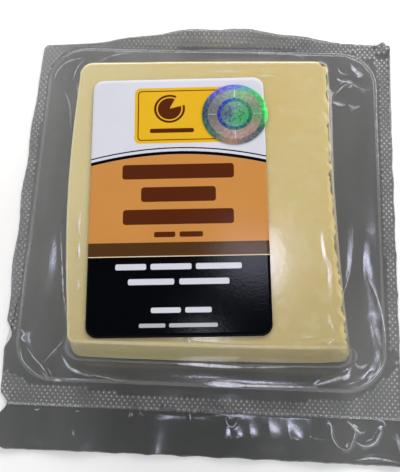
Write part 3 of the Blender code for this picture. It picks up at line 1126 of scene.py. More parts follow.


# The whitened crests of these folds are partly the film's stress whitening and partly painted highlights.
# Creases of the slack round the block: at its left,
SLACK_FOLDS = (
    Fold(((-45.5, -2.0), (-44.3, -9.5), (-42.5, -22.3), (-41.8, -25.3), (-41.0, -29.0), (-39.9, -33.4)),
         0.5, 0.12, 0.55, 0.85),
    Fold(((-43.2, -4.5), (-42.4, -14.0), (-41.3, -22.2), (-40.1, -28.9), (-39.2, -33.0), (-39.8, -33.6)),
         0.45, 0.1, 0.42, 0.85),
    Fold(((-48.3, 3.0), (-48.5, -12.0), (-49.0, -25.0)), 3.1, 0.28),
    Fold(((-54.2, -9.0), (-53.9, -15.0), (-53.6, -22.0)), 1.0, 0.07),
    Fold(((-53.4, -2.0), (-54.6, -12.0), (-54.9, -21.0), (-54.4, -33.0)), 0.8, 0.05, 0.3, 0.5),
    Fold(((-54.2, -34.2), (-52.8, -35.9), (-53.4, -37.2), (-51.6, -38.6)), 0.6, 0.2, 0.8, 0.75),
    # at the front left corner,
    Fold(((-46.7, -45.1), (-44.9, -42.4), (-43.1, -40.0), (-40.7, -37.2), (-39.3, -37.4)),
         0.5, 0.2, 0.34, 0.6),
    Fold(((-41.2, -41.4), (-39.7, -43.7), (-38.1, -45.4), (-35.9, -46.4), (-34.1, -47.0), (-31.4, -47.7)),
         0.9, 0.3, 1.1, 0.85),
    Fold(((-33.0, -47.1), (-27.3, -47.8), (-24.3, -48.3), (-20.4, -48.4)), 0.5, 0.1, 0.5, 0.5),
    Fold(((-39.5, -48.7), (-36.9, -48.6), (-33.0, -48.6)), 0.5, 0.15, 0.8, 0.45),
    Fold(((-47.2, -44.8), (-45.3, -46.8), (-44.4, -48.9)), 0.4, 0.15, 0.4, 0.6),
    Fold(((-47.0, -46.4), (-45.2, -48.0), (-44.6, -49.3)), 0.4, 0.12, 0.34, 0.55),
    Fold(((-44.9, -45.3), (-43.8, -47.0), (-42.9, -48.6)), 0.4, 0.15, 0.34, 0.55),
    Fold(((-53.5, -39.3), (-52.7, -43.1), (-50.2, -45.9), (-46.3, -48.5)), 0.5, 0.15, 0.4, 0.65),
    Fold(((-51.8, -39.6), (-49.1, -42.9), (-46.7, -45.1), (-44.8, -47.5)), 0.5, 0.15, 0.5, 0.7),
    Fold(((-43.0, -49.3), (-41.4, -49.0), (-40.2, -49.6)), 0.5, 0.15, 0.9, 0.8),
    # in front,
    Fold(((1.2, -48.3), (5.5, -48.25), (14.2, -48.4)), 0.7, 0.04, 2.0, 1.6),
    Fold(((2.0, -48.3), (12.0, -48.4), (22.0, -48.3), (34.5, -48.1)), 0.7, 0.04, 0.9, 1.0),
    Fold(((-14.0, -43.6), (0.0, -43.9), (12.7, -44.1), (29.0, -43.4)), 0.8, 0.08),
    Fold(((-7.0, -42.9), (0.0, -43.0), (6.1, -43.15), (13.9, -43.2)), 0.5, 0.02, 1.3, 1.4),
    Fold(((11.0, -43.2), (18.0, -43.0), (28.7, -42.4)), 0.5, 0.02, 0.7, 0.7),
    Fold(((34.0, -47.6), (37.9, -46.3), (41.1, -45.0), (43.2, -44.3), (44.6, -41.4)), 0.9, 0.35, 1.2, 0.9),
    Fold(((41.3, -45.2), (43.0, -45.1), (44.0, -43.4)), 0.6, 0.1, 1.3, 0.7),
    Fold(((45.4, -40.4), (47.0, -41.9), (49.4, -40.7)), 0.9, 0.15, 1.3, 0.5),
    Fold(((54.7, -37.0), (54.3, -39.1), (53.0, -42.0), (50.9, -44.7), (48.3, -46.8), (44.6, -48.2)),
         0.5, 0.12, 0.36, 0.8),
    Fold(((43.2, -47.0), (45.0, -46.3), (46.8, -45.7)), 0.4, 0.1, 0.4, 0.4),
    Fold(((48.8, -45.2), (50.9, -43.0)), 0.45, 0.12, 0.6, 0.6),
    # at the right,
    Fold(((46.6, 6.0), (46.2, -6.2), (45.5, -12.6), (43.9, -18.8), (42.6, -24.0)), 1.7, 0.16),
    Fold(((45.6, 2.0), (45.0, -8.0), (44.3, -13.5), (42.7, -19.1), (41.3, -24.4)), 0.5, 0.03, 0.55, 0.5),
    Fold(((50.0, -1.0), (50.6, -10.0), (51.2, -15.0), (53.0, -21.0)), 1.5, 0.14),
    Fold(((48.8, -5.0), (49.9, -14.0), (52.1, -19.8), (53.5, -25.0), (54.4, -30.5), (54.8, -37.4)),
         0.5, 0.08, 0.6, 0.75),
    Fold(((52.0, -17.5), (53.2, -23.5), (54.0, -29.0)), 0.4, 0.06, 0.3, 0.5),
    Fold(((50.8, -25.0), (52.0, -30.3), (53.4, -36.5)), 1.3, 0.1, 1.5, 0.4),
    Fold(((44.8, -36.0), (46.0, -38.5), (45.4, -40.5)), 1.6, 0.15, 1.2, 0.25),
    # at the back right corner,
    Fold(((41.2, 57.3), (42.5, 54.9), (45.0, 54.2)), 0.6, 0.15, 0.5, 0.7),
    Fold(((44.9, 59.4), (47.4, 55.8), (50.8, 53.7)), 0.9, 0.25, 0.5, 0.75),
    Fold(((45.4, 57.6), (48.0, 54.4), (50.0, 54.0)), 0.8, 0.1, 1.3, 0.75),
    Fold(((41.0, 52.6), (45.4, 51.0), (50.2, 48.5), (52.4, 49.5)), 0.7, 0.25, 0.4, 0.6),
    Fold(((41.0, 53.0), (42.6, 51.8), (44.4, 51.7)), 0.6, 0.1, 0.9, 0.7),
    Fold(((39.6, 45.3), (43.1, 49.8), (46.1, 51.3)), 0.6, 0.25, 0.36, 0.55),
    Fold(((39.5, 44.3), (42.0, 43.2), (44.0, 43.4)), 1.0, 0.2, 1.4, 0.7),
    Fold(((44.5, 43.4), (47.0, 42.2), (48.8, 43.2)), 1.0, 0.2, 1.2, 0.4),
    # behind,
    Fold(((-21.2, 60.8), (-4.4, 61.2), (15.7, 61.8), (27.7, 60.9), (30.7, 59.1), (34.3, 57.5)),
         0.8, 0.12, 0.5, 0.7),
    Fold(((-39.1, 56.2), (-33.9, 59.0), (-25.9, 60.7)), 0.7, 0.15, 0.4, 0.6),
    # and at the back left corner.
    Fold(((-52.6, 48.4), (-51.9, 52.4), (-50.1, 55.1), (-47.3, 57.1), (-42.6, 58.2)), 0.6, 0.15, 0.45, 0.6),
    Fold(((-46.3, 49.6), (-45.6, 53.4), (-44.4, 55.7), (-42.9, 57.6)), 0.5, 0.15, 0.5, 0.6),
    Fold(((-45.2, 50.2), (-44.2, 44.1), (-43.2, 34.7)), 0.6, 0.12, 0.45, 0.5),
    Fold(((-48.7, 46.0), (-46.5, 40.2), (-45.3, 31.1)), 1.6, 0.2, 1.0, 0.3),
)
# Small ridges of the skin over the block's top, whose whitened crests are partly stress whitening and partly
# painted highlights.
SKIN_FOLDS = (
    Fold(((-34.8, -3.6), (-35.0, -8.0), (-34.2, -11.4)), 0.8, 0.12, 0.9, 0.75),
    Fold(((-34.7, -12.6), (-34.3, -15.0), (-34.1, -18.4)), 0.8, 0.12, 0.85, 0.8),
    Fold(((-34.2, -23.4), (-33.5, -25.0), (-33.7, -27.0)), 0.8, 0.1, 0.9, 0.5),
    Fold(((33.8, -4.5), (34.1, -10.6), (34.6, -14.6), (35.9, -17.6), (36.0, -24.7), (35.6, -29.2)),
         0.5, 0.08, 0.32, 0.75),
    Fold(((35.5, -30.6), (35.8, -33.2), (37.0, -36.2)), 0.5, 0.1, 0.32, 0.7),
    Fold(((-0.5, 42.4), (4.0, 42.2), (9.8, 42.7)), 0.6, 0.06, 0.45, 0.6),
    Fold(((14.6, 40.8), (17.0, 41.3), (19.6, 41.0)), 0.5, 0.08, 0.5, 0.7),
    Fold(((-8.0, 44.2), (14.0, 45.2), (33.5, 45.6)), 0.4, 0.03, 0.3, 0.5),
    Fold(((2.5, -40.2), (10.0, -40.4), (23.0, -39.9)), 0.5, 0.06, 0.36, 0.6),
    Fold(((27.0, -37.6), (29.0, -37.3), (32.0, -37.2)), 0.6, 0.06, 0.5, 0.35),
    Fold(((34.6, -39.6), (36.0, -38.0), (37.4, -37.2)), 0.5, 0.08, 0.4, 0.75),
    Fold(((-3.0, -38.6), (-2.2, -39.6), (-1.6, -40.6)), 0.6, 0.05, 0.6, 0.5),
    Fold(((-31.0, -40.4), (-22.0, -40.6), (-12.0, -40.3)), 0.5, 0.04, 0.3, 0.35),
)
# Loops where the loose strip in front hangs from the seal, whose whitened crests are partly stress whitening
# and partly painted highlights.
STRIP_FOLDS = (
    Fold(((37.0, -56.7), (38.4, -58.6), (38.7, -61.9), (40.3, -64.4), (42.3, -65.4)), 0.7, 0.3, 0.55, 0.7),
    Fold(((40.6, -64.9), (42.8, -65.2), (44.2, -63.6), (45.2, -59.7), (43.6, -56.7)), 0.7, 0.3, 0.45, 0.55),
    Fold(((42.7, -56.8), (46.4, -60.2), (48.5, -59.8)), 0.6, 0.3, 0.65, 0.8),
    Fold(((44.6, -62.6), (47.9, -64.0), (51.0, -62.7), (53.4, -57.9)), 0.7, 0.35, 0.7, 0.65),
    Fold(((54.0, -58.6), (53.2, -56.9), (51.2, -56.9)), 0.6, 0.3, 0.45, 0.6),
    Fold(((45.0, -68.0), (50.6, -67.2), (57.5, -68.2)), 0.9, 0.25, 0.8, 0.7),
    Fold(((37.5, -62.6), (35.4, -62.8), (32.0, -62.0)), 0.7, 0.15, 0.3, 0.25),
    Fold(((57.0, -60.0), (57.5, -63.5), (58.2, -65.5)), 1.2, 0.2, 1.2, 0.35),
    Fold(((7.0, -56.9), (11.0, -57.2), (18.0, -56.9)), 0.4, 0.08, 0.5, 0.8),
    Fold(((8.2, -57.0), (8.8, -59.6), (10.6, -60.2), (12.0, -57.4)), 0.5, 0.12, 0.5, 0.6),
    Fold(((-2.2, -56.8), (-1.8, -59.2)), 0.5, 0.15, 0.6, 0.7),
    Fold(((-19.4, -56.8), (-19.8, -59.4)), 0.5, 0.15, 0.4, 0.6),
    Fold(((-16.4, -56.8), (-16.6, -58.4)), 0.5, 0.15, 0.4, 0.5),
    Fold(((-47.9, -57.3), (-46.8, -57.9), (-45.8, -57.1)), 0.4, 0.1, 0.5, 0.7),
    Fold(((-35.6, -57.4), (-34.8, -57.8), (-34.0, -57.3)), 0.4, 0.1, 0.45, 0.7),
    Fold(((-52.0, -62.0), (-44.0, -65.5), (-35.0, -64.0)), 2.4, 0.3),
)


def seal_outline(cut: np.ndarray) -> np.ndarray:
    """The heat seal's outer edge: the cut edge, but a straight line in front.

    Args:
        cut: The cut edge's points.

    Returns:
        As many points, on the seal's edge.
    """
    start, corner, outer, side_low = -40.0, -66.5, 57.0, -68.5
    squeeze = (SEAL_FRONT - start) / (-HALF_LENGTH - start)
    y = np.where(cut[:, 1] > start, cut[:, 1], start + (cut[:, 1] - start) * squeeze)
    x = cut[:, 0].copy()
    for sign in (1, -1):
        away = sign * cut[:, 0]
        side = sorted_by(cut[(away > SIDES_FROM) & (cut[:, 1] > side_low) & (cut[:, 1] < 50.0)], 1)
        moved = (away > outer) | ((away > SIDES_FROM) & (cut[:, 1] > corner))
        moved &= cut[:, 1] < start
        x[moved] = np.interp(y[moved], side[:, 1], side[:, 0])
    return np.column_stack([x, y])


def smooth_run(keys: Sequence[tuple[float, float]]) -> np.ndarray:
    """Draws a smooth curve through points.

    Args:
        keys: The points.

    Returns:
        Closely spaced points of the curve.
    """
    ends = [keys[0], *keys, keys[-1]]
    fine = []
    for a, b, c, d in zip(ends, ends[1:], ends[2:], ends[3:]):
        a, b, c, d = (np.array(p) for p in (a, b, c, d))
        for t in np.linspace(0, 1, 12, endpoint=False):
            square, cube = 2 * a - 5 * b + 4 * c - d, 3 * b - a - 3 * c + d
            fine.append(0.5 * (2 * b + (c - a) * t + square * t**2 + cube * t**3))
    return np.array(fine + [keys[-1]])


def through(keys: Sequence[tuple[float, float]], count: int) -> np.ndarray:
    """Reads evenly spaced points off a smooth curve through a section's key points.

    Args:
        keys: Key points of the section.
        count: How many points to read.

    Returns:
        Rows of the section's two values.
    """
    fine = smooth_run(keys)
    scaled = fine * (16.0, 1.0)
    run = run_along(scaled)
    at = np.linspace(0.0, run[-1], count)
    return np.column_stack([np.interp(at, run, fine[:, k]) for k in (0, 1)])


@dataclass
class FilmCreases(Piece):
    """The sharp creases of a sheet of film: narrow ribs along the crests of its folds, whitened partly as
    stress whitening and partly as a painted highlight.

    Attributes:
        rise: How far a rib's middle stands over its flanks, in millimetres.
        clear: How far the flanks stand over the film.
        across: Faces across a rib.
        step: Length of a face along it.
        look: How far ahead and behind its direction is read.
        drop: How far its flanks follow the film up or down.
    """

    rise: float = 0.07
    clear: float = 0.03
    across: int = 4
    step: float = 0.4
    look: float = 0.3
    drop: float = 0.4

    def lay(self, film: BVHTree, folds: Sequence[Fold]) -> bpy.types.Object:
        """Lays a rib along each fold that has a sharp crease.

        Args:
            film: The film that they lie on.
            folds: Its folds.

        Returns:
            The object.
        """
        work = bmesh.new()
        mark = work.verts.layers.float.new("crease")
        for fold in folds:
            if fold.line > 0:
                self.rib(work, mark, film, fold)
        return self.finish(work, CreaseFinish().material())

    def rib(self, work: bmesh.types.BMesh, mark: bmesh.types.BMLayerItem, film: BVHTree, fold: Fold) -> None:
        """Adds one rib, which tapers and fades to its ends and flanks.

        Args:
            work: The mesh.
            mark: Its layer of whitening, partly painted highlight.
            film: The film under it.
            fold: The fold that it runs along.
        """
        crest = smooth_run(fold.path)
        run = run_along(crest)
        lines = max(6, round(run[-1] / self.step))
        verts = bmesh.ops.create_grid(work, x_segments=self.across, y_segments=lines, size=0.5)["verts"]
        for vert in verts:
            aside, at = vert.co.x * 2, (vert.co.y + 0.5) * run[-1]
            spots = (at, at + self.look, at - self.look)
            crossings = [np.interp(spots, run, crest[:, k]) for k in (0, 1)]
            here, ahead, behind = (Vector(spot) for spot in zip(*crossings))
            way = (ahead - behind).normalized()
            taper = math.sin(math.pi * min(max(at / run[-1], 0.0), 1.0)) ** 0.6
            place = here + Vector((-way.y, way.x)) * aside * fold.line / 2 * (0.25 + 0.75 * taper)
            middle, flank = (self.height(film, spot) for spot in (here, place))
            level = min(max(flank, middle - self.drop), middle + self.drop)
            vert.co = Vector((place.x, place.y, level + self.clear + self.rise * (1 - aside**2))) * MM
            # The whitening, partly stress whitening and partly painted highlight, fades to the rib's ends
            # and flanks.
            vert[mark] = fold.white * taper * (1 - aside**2)

    @staticmethod
    def height(film: BVHTree, spot: Vector) -> float:
        """Height of the film at a spot, in millimetres."""
        hit = film.ray_cast(Vector((spot.x, spot.y, 100.0)) * MM, Vector((0, 0, -1)))[0]
        return hit.z / MM if hit else SEAL_TOP


@dataclass
class FilmSheet(Piece):
    """A sheet of clear film with the creases that lie on it."""

    thickness: float = 0.1

    def drape(self, work: bmesh.types.BMesh, folds: Sequence[Fold], creases: str,
              look: str) -> bpy.types.Object:
        """Makes the film's object, its thickness and the piece with its creases.

        Args:
            work: The film's upper face.
            folds: Its folds.
            creases: Name of the piece with its creases.
            look: Name of its material.

        Returns:
            The film's object.
        """
        FilmCreases(creases, self.slot).lay(BVHTree.FromBMesh(work), folds)
        made = self.finish(work, ClearFilmFinish(look).material())
        wall = made.modifiers.new("film", "SOLIDIFY")
        wall.thickness = self.thickness * MM
        wall.offset = -1.0
        return made


@dataclass
class FormedFilm(FilmSheet):
    """The clear web: its seal, the pocket's rim, the slack round the block and the skin over it."""

    name: str = "formed_film"
    slot: str = "clear_film"
    replaces: tuple[str, ...] = ("top_film",)
    side_steps: int = 112
    arc_steps: int = 25
    thickness: float = 0.08
    top_round: float = 1.1
    skin: float = 0.1
    wall_foot: float = 9.0
    slack_wave: float = 0.09
    # Share from the pocket's foot, at -1, over its rim, at 0, to the block's wall, at 1, with its height:
    # a gentle fall to the moat, a flat one in front, and a long fall to the block on the right.
    section: Path = (
        (-1.0, 0.6), (-0.7, 0.68), (-0.3, 1.05), (-0.05, 1.36), (0.05, 1.4), (0.14, 1.31), (0.3, 1.06),
        (0.5, 0.82), (0.7, 0.7), (0.83, 0.92), (0.9, 1.7), (0.945, 3.2), (0.98, 6.0), (1.0, 9.0),
    )
    front_section: Path = (
        (-1.0, 0.6), (-0.7, 0.68), (-0.4, 0.98), (-0.1, 1.28), (0.0, 1.28), (0.12, 1.22), (0.25, 1.17),
        (0.4, 1.16), (0.6, 1.16), (0.78, 1.18), (0.88, 1.65), (0.94, 3.2), (0.98, 6.0), (1.0, 9.0),
    )
    right_section: Path = (
        (-1.0, 0.6), (-0.7, 0.66), (-0.35, 0.9), (-0.08, 1.1), (0.03, 1.12), (0.14, 0.98), (0.28, 0.82),
        (0.45, 0.76), (0.75, 0.78), (0.86, 1.0), (0.92, 2.0), (0.955, 3.8), (0.98, 6.0), (1.0, 9.0),
    )

    def wall(self, block: np.ndarray, height: float, inset: float = 0.0) -> np.ndarray:
        """The block's outline that the film follows at a height."""
        return leaned(block, height, BLOCK_GROWN + self.skin - inset)

    def rows(self) -> list[np.ndarray]:
        """Rows from the cut edge, over the slack and up the block's wall, to the middle of its top."""
        cut = CUT.walk(self.side_steps, self.arc_steps)
        pocket = POCKET.walk(self.side_steps, self.arc_steps)
        block = BLOCK.walk(self.side_steps, self.arc_steps)
        flat = grown(pocket, POCKET_RIM)
        seal = seal_outline(cut)
        rows = []
        for share in np.linspace(0.0, 1.0, 6)[:-1]:
            outline = seal + (flat - seal) * share
            rows.append(row(outline, sheet_lift(outline) + SEAL_TOP))
        wall = self.wall(block, self.wall_foot)
        fronts, rights = through(self.front_section, 200), through(self.right_section, 200)
        for share, height in through(self.section, 46):
            if share < 0:
                outline = pocket + (flat - pocket) * -share
            else:
                outline = pocket + (wall - pocket) * share
            in_front = smooth_step(-40.0, -45.0, outline[:, 1])
            at_right = smooth_step(36.0, 42.0, outline[:, 0]) * smooth_step(50.0, 36.0, outline[:, 1])
            height = height + (np.interp(share, *rights.T) - height) * at_right
            height = height + (np.interp(share, *fronts.T) - height) * in_front * (1 - at_right)
            slack = smooth_step(0.05, 0.3, share) * smooth_step(1.0, 0.8, share)
            if slack > 0:
                height = height + self.slack_wave * slack * roughness_at(outline, 16.0, 1.0) * (1 - in_front)
            rows.append(row(outline, height))
        high = FILM_TOP - self.top_round
        for height in np.linspace(self.wall_foot, high, 7)[1:]:
            rows.append(row(self.wall(block, height), height))
        for angle in np.radians((15, 30, 45, 60, 75, 90)):
            height = high + self.top_round * math.sin(angle)
            inset = self.top_round * (1 - math.cos(angle))
            rows.append(row(self.wall(block, height, inset), height))
        shares = (*np.linspace(0.99, 0.86, 13), 0.7, 0.4, 0.0)
        rows += [row(outline, FILM_TOP) for outline in closing(rows[-1][:, :2] / MM, shares)]
        return rows

    def build(self) -> bpy.types.Object:
        """Builds the film and gives it its thickness."""
        work = wrapped_sheet(self.rows())
        places = np.array([vert.co[:] for vert in work.verts]) / MM
        push = sum(fold.push(places[:, :2]) for fold in SLACK_FOLDS)
        push *= smooth_step(20.0, 12.0, places[:, 2])
        skin = sum(fold.push(places[:, :2]) for fold in SKIN_FOLDS)
        push += skin * smooth_step(21.0, 21.9, places[:, 2])
        for vert, amount in zip(work.verts, push):
            if amount > 1e-4:
                vert.co += vert.normal * float(amount) * MM
        return self.drape(work, (*SLACK_FOLDS, *SKIN_FOLDS), "film_creases", "clear film")


@dataclass
class KnurledSeal(Piece):
    """The knurling of the heat seal: rows of small pyramids pressed into both webs."""

    name: str = "knurled_seal"
    slot: str = "clear_film"
    pitch: float = 1.58
    line: float = 1.0
    crest: float = 0.2
    gap: float = 0.12
    cells: int = 150
    margin: float = 0.5
    back_width: float = 4.5
    front_from: float = -36.0
    back_from: float = 52.0
    # The knurling's inner edge in front.
    front_edge: Path = (
        (-58.0, -46.0), (-49.2, -50.3), (-35.5, -50.8), (-26.3, -51.5), (-19.5, -52.8), (22.9, -52.5),
        (45.0, -51.3), (51.6, -47.3), (56.4, -42.0), (60.0, -36.0),
    )

    def holds(self, points: np.ndarray) -> np.ndarray:
        """Which points lie on the knurled band.

        Args:
            points: Rows of x and y, in millimetres.

        Returns:
            True for each point on it.
        """
        fine = 160
        outer = grown(seal_outline(CUT.walk(fine, 20)), -self.margin)
        inner = grown(POCKET.walk(fine, 20), POCKET_RIM + self.margin)
        x, y = points.T
        clear = (y < np.interp(x, *np.array(self.front_edge).T)) | (y > self.front_from)
        smooth = self.inside(points, grown(outer, -self.back_width)) & (y > self.back_from)
        return self.inside(points, outer) & ~self.inside(points, inner) & clear & ~smooth

    @staticmethod
    def inside(points: np.ndarray, outline: np.ndarray) -> np.ndarray:
        """Which points an outline holds, by counting the edges beside each."""
        x, y = points[:, 0:1], points[:, 1:2]
        ax, ay = outline[:, 0], outline[:, 1]
        bx, by = np.roll(ax, -1), np.roll(ay, -1)
        crosses = (ay > y) != (by > y)
        rise = np.where(by == ay, 1e-9, by - ay)
        beside = x < (bx - ax) * (y - ay) / rise + ax
        return (np.sum(crosses & beside, axis=1) % 2).astype(bool)

    def build(self) -> bpy.types.Object:
        """Builds the pyramids."""
        work = bmesh.new()
        mark = work.verts.layers.float.new("tip")
        side = math.hypot(self.pitch / 2, self.line)
        half = self.cells * side / 2 * MM
        bmesh.ops.create_grid(work, x_segments=self.cells, y_segments=self.cells, size=half)
        bmesh.ops.rotate(work, verts=work.verts, matrix=Matrix.Rotation(math.radians(45), 3, "Z"))
        diagonal = side * math.sqrt(2)
        squash = (self.pitch / diagonal, 2 * self.line / diagonal, 1.0)
        bmesh.ops.scale(work, verts=work.verts, vec=squash)
        centres = np.array([face.calc_center_median()[:2] for face in work.faces]) / MM
        kept = self.holds(centres)
        outside = [face for face, keep in zip(work.faces, kept) if not keep]
        bmesh.ops.delete(work, geom=outside, context="FACES")
        places = np.array([vert.co[:2] for vert in work.verts]) / MM
        for vert, lift in zip(work.verts, sheet_lift(places)):
            vert.co.x = min(vert.co.x, (HALF_WIDTH - 0.1) * MM)
            vert.co.z = (float(lift) + SEAL_TOP + 0.02) * MM
        bmesh.ops.inset_individual(work, faces=work.faces, thickness=self.gap * MM, use_even_offset=True)
        least = (0.6 * MM) ** 2
        crests = [face for face in work.faces if len(face.edges) == 4 and face.calc_area() > least]
        # Each stud's tip is marked for its painted highlight.
        for vert in bmesh.ops.poke(work, faces=crests, offset=self.crest * MM)["verts"]:
            vert[mark] = 1.0
        work.normal_update()
        return self.finish(work, KnurlFinish().material())


@dataclass
class LooseFrontEdge(FilmSheet):
    """The loose strip of clear web beyond the front seal, wrinkled where it hangs from it."""

    name: str = "loose_front_edge"
    slot: str = "clear_film"
    columns: int = 280
    lines: int = 34
    thickness: float = 0.12
    swell: float = 0.8
    swell_from: float = -57.0
    swell_reach: float = 6.6
    column: float = 0.15
    column_step: float = 5.6
    column_start: float = 9.2
    column_lean: float = 0.12
    end: float = -68.4

    @staticmethod
    def belly(x: np.ndarray) -> np.ndarray:
        """How much of the swelling there is, from nothing at the strip's left to all right of its middle."""
        return smooth_step(2.0, 9.0, x) * smooth_step(37.0, 31.0, x)

    def swollen(self, points: np.ndarray) -> np.ndarray:
        """How far the strip bellies up, in a row of soft columns right of its middle.

        Args:
            points: Rows of x and y, in millimetres.

        Returns:
            The height of each point over a flat strip.
        """
        x, y = points[:, 0], points[:, 1]
        reach = np.clip((self.swell_from - y) / self.swell_reach, 0.0, 1.0)
        along = (reach - 0.2 * reach**4) * (1 - 0.7 * smooth_step(-63.0, -68.6, y))
        leant = x - self.column_start + self.column_lean * (y - self.swell_from)
        columns = np.abs(np.sin(math.pi * leant / self.column_step))
        return along * self.belly(x) * (self.swell + self.column * columns)

    def build(self) -> bpy.types.Object:
        """Builds the strip."""
        cut = CUT.walk(260, 20)
        low = sorted_by(cut[cut[:, 1] < -66.0], 0)
        beside = (np.abs(cut[:, 0]) > SIDES_FROM) & (cut[:, 1] < -45.0) & (cut[:, 1] > -68.6)
        left_side, right_side = (sorted_by(cut[beside & (sign * cut[:, 0] > 0)], 1) for sign in (-1, 1))
        work = bmesh.new()
        bmesh.ops.create_grid(work, x_segments=self.columns, y_segments=self.lines, size=0.5)
        share = np.array([vert.co[:2] for vert in work.verts]) + 0.5
        start = SEAL_FRONT + 0.5
        y = start + (self.end - start) * (1 - share[:, 1])
        left, right = (np.interp(y, side[:, 1], side[:, 0]) for side in (left_side, right_side))
        x = left + (right - left) * share[:, 0]
        front = np.interp(x, low[:, 0], low[:, 1])
        y = start + (front - start) * (1 - share[:, 1])
        points = np.column_stack([x, y])
        free = smooth_step(start, start - 3.0, y)
        push = sum(fold.push(points) for fold in STRIP_FOLDS)
        slack = 1 - self.belly(x)
        wave = 0.12 * free * (1 + roughness_at(points, 14.0, 3.0)) * (0.1 + 0.9 * slack)
        height = SEAL_TOP + sheet_lift(points) + wave + self.swollen(points) + push * (0.35 + 0.65 * free)
        height += 0.14 * smooth_step(start - 1.4, start, y) * slack + 0.04 * (1 - slack)
        for vert, px, py, pz in zip(work.verts, x, y, height):
            vert.co = (px * MM, py * MM, pz * MM)
        work.normal_update()
        if next(iter(work.faces)).normal.z < 0:
            bmesh.ops.reverse_faces(work, faces=work.faces)
        return self.drape(work, STRIP_FOLDS, "strip_creases", "loose film")


def plate_rows(outline: np.ndarray, centre: np.ndarray, low: float, high: float,
               drop: Callable[[np.ndarray], np.ndarray]) -> list[np.ndarray]:
    """Rows of a thin plate with a softly rounded upper edge.

    Args:
        outline: Its outer edge, in millimetres.
        centre: Its middle.
        low: Height of its underside.
        high: Height of its face.
        drop: How far it bends down at each point.

    Returns:
        Rows from the middle of the underside, round the edge, to the middle of the face.
    """
    def inner(share: float, height: float) -> np.ndarray:
        """A row inside the edge."""
        points = centre + (outline - centre) * share
        return row(points, height - drop(points))

    under = [inner(share, low) for share in (0.0, 0.5, 0.95, 0.999)]
    soft = 0.06
    edge = [row(outline, low + soft - drop(outline)), row(outline, high - soft - drop(outline))]
    rounded = grown(outline, -soft)
    edge.append(row(rounded, high - drop(rounded)))
    face = [inner(share, high) for share in (0.97, 0.93, 0.87, 0.79, 0.69, 0.57, 0.44, 0.3, 0.15, 0.0)]
    return under + edge + face


@dataclass
class PaperLabel(Piece):
    """The printed paper label on top of the film."""

    name: str = "paper_label"
    slot: str = "label_paper"
    replaces: tuple[str, ...] = ("label",)

    def build(self) -> bpy.types.Object:
        """Builds the label."""
        x, y = LABEL_SIZE[0] / 2, LABEL_SIZE[1] / 2
        corners = ((x, -y), (x, y), (-x, y), (-x, -y))
        flat = Outline(corners, (LABEL_CORNER,) * 4).walk(40, 12)
        cosine, sine = math.cos(LABEL_TURN), math.sin(LABEL_TURN)
        outline = flat @ np.array([[cosine, sine], [-sine, cosine]]) + LABEL_CENTRE
        rows = plate_rows(outline, np.array(LABEL_CENTRE), FILM_TOP, LABEL_TOP, self.drop)
        return self.finish(wrapped_sheet(rows), LabelFinish().material(), 50.0)

    @staticmethod
    def drop(points: np.ndarray) -> np.ndarray:
        """The label lies flat, with a swell that hardly shows."""
        return 0.03 * (1 + roughness_at(points, 20.0, 5.0))


@dataclass
class FoilSticker(Piece):
    """The round foil sticker, lapping over the label's right edge."""

    name: str = "foil_sticker"
    slot: str = "foil"
    replaces: tuple[str, ...] = ("round_sticker",)
    columns: int = 128

    def centre(self) -> tuple[float, float]:
        """Its middle, in the pack's millimetres."""
        spot = Matrix.Rotation(LABEL_TURN, 2) @ Vector(STICKER_ON_LABEL)
        return (LABEL_CENTRE[0] + spot.x, LABEL_CENTRE[1] + spot.y)

    def drop(self, points: np.ndarray) -> np.ndarray:
        """It steps down where it runs past the label's edge."""
        cosine, sine = math.cos(LABEL_TURN), math.sin(LABEL_TURN)
        across = (points - LABEL_CENTRE) @ np.array([cosine, sine])
        return 0.3 * smooth_step(LABEL_SIZE[0] / 2 - 0.1, LABEL_SIZE[0] / 2 + 0.7, across) + 0.03

    def build(self) -> bpy.types.Object:
        """Builds the sticker."""
        angles = np.linspace(0, 2 * math.pi, self.columns, endpoint=False)
        centre = np.array(self.centre())
        outline = centre + STICKER_RADIUS * np.column_stack([np.cos(angles), np.sin(angles)])
        rows = plate_rows(outline, centre, LABEL_TOP, STICKER_TOP, self.drop)
        return self.finish(wrapped_sheet(rows), FoilFinish(self.centre()).material(), 50.0)


@dataclass(frozen=True)
class Lamp:
    """A soft rectangular light that looks at the pack.

    Attributes:
        name: Its name.
        place: Where it hangs, in metres.
        size: Its width and length, in metres.
        power: Its power in watts.
        colour: Its tint.
    """

    name: str
    place: tuple[float, float, float]
    size: tuple[float, float]
    power: float
    colour: tuple[float, float, float] = (1.0, 1.0, 1.0)

    def hang(self) -> bpy.types.Object:
        """Hangs the lamp, aimed at the pack."""
        light = bpy.data.lights.new(self.name, "AREA")
        light.shape = "RECTANGLE"
        light.size, light.size_y = self.size
        light.energy = self.power
        light.color = self.colour
        made = linked(self.name, light)
        made.location = self.place
        made.rotation_euler = (-Vector(self.place)).to_track_quat("-Z", "Y").to_euler()
        return made


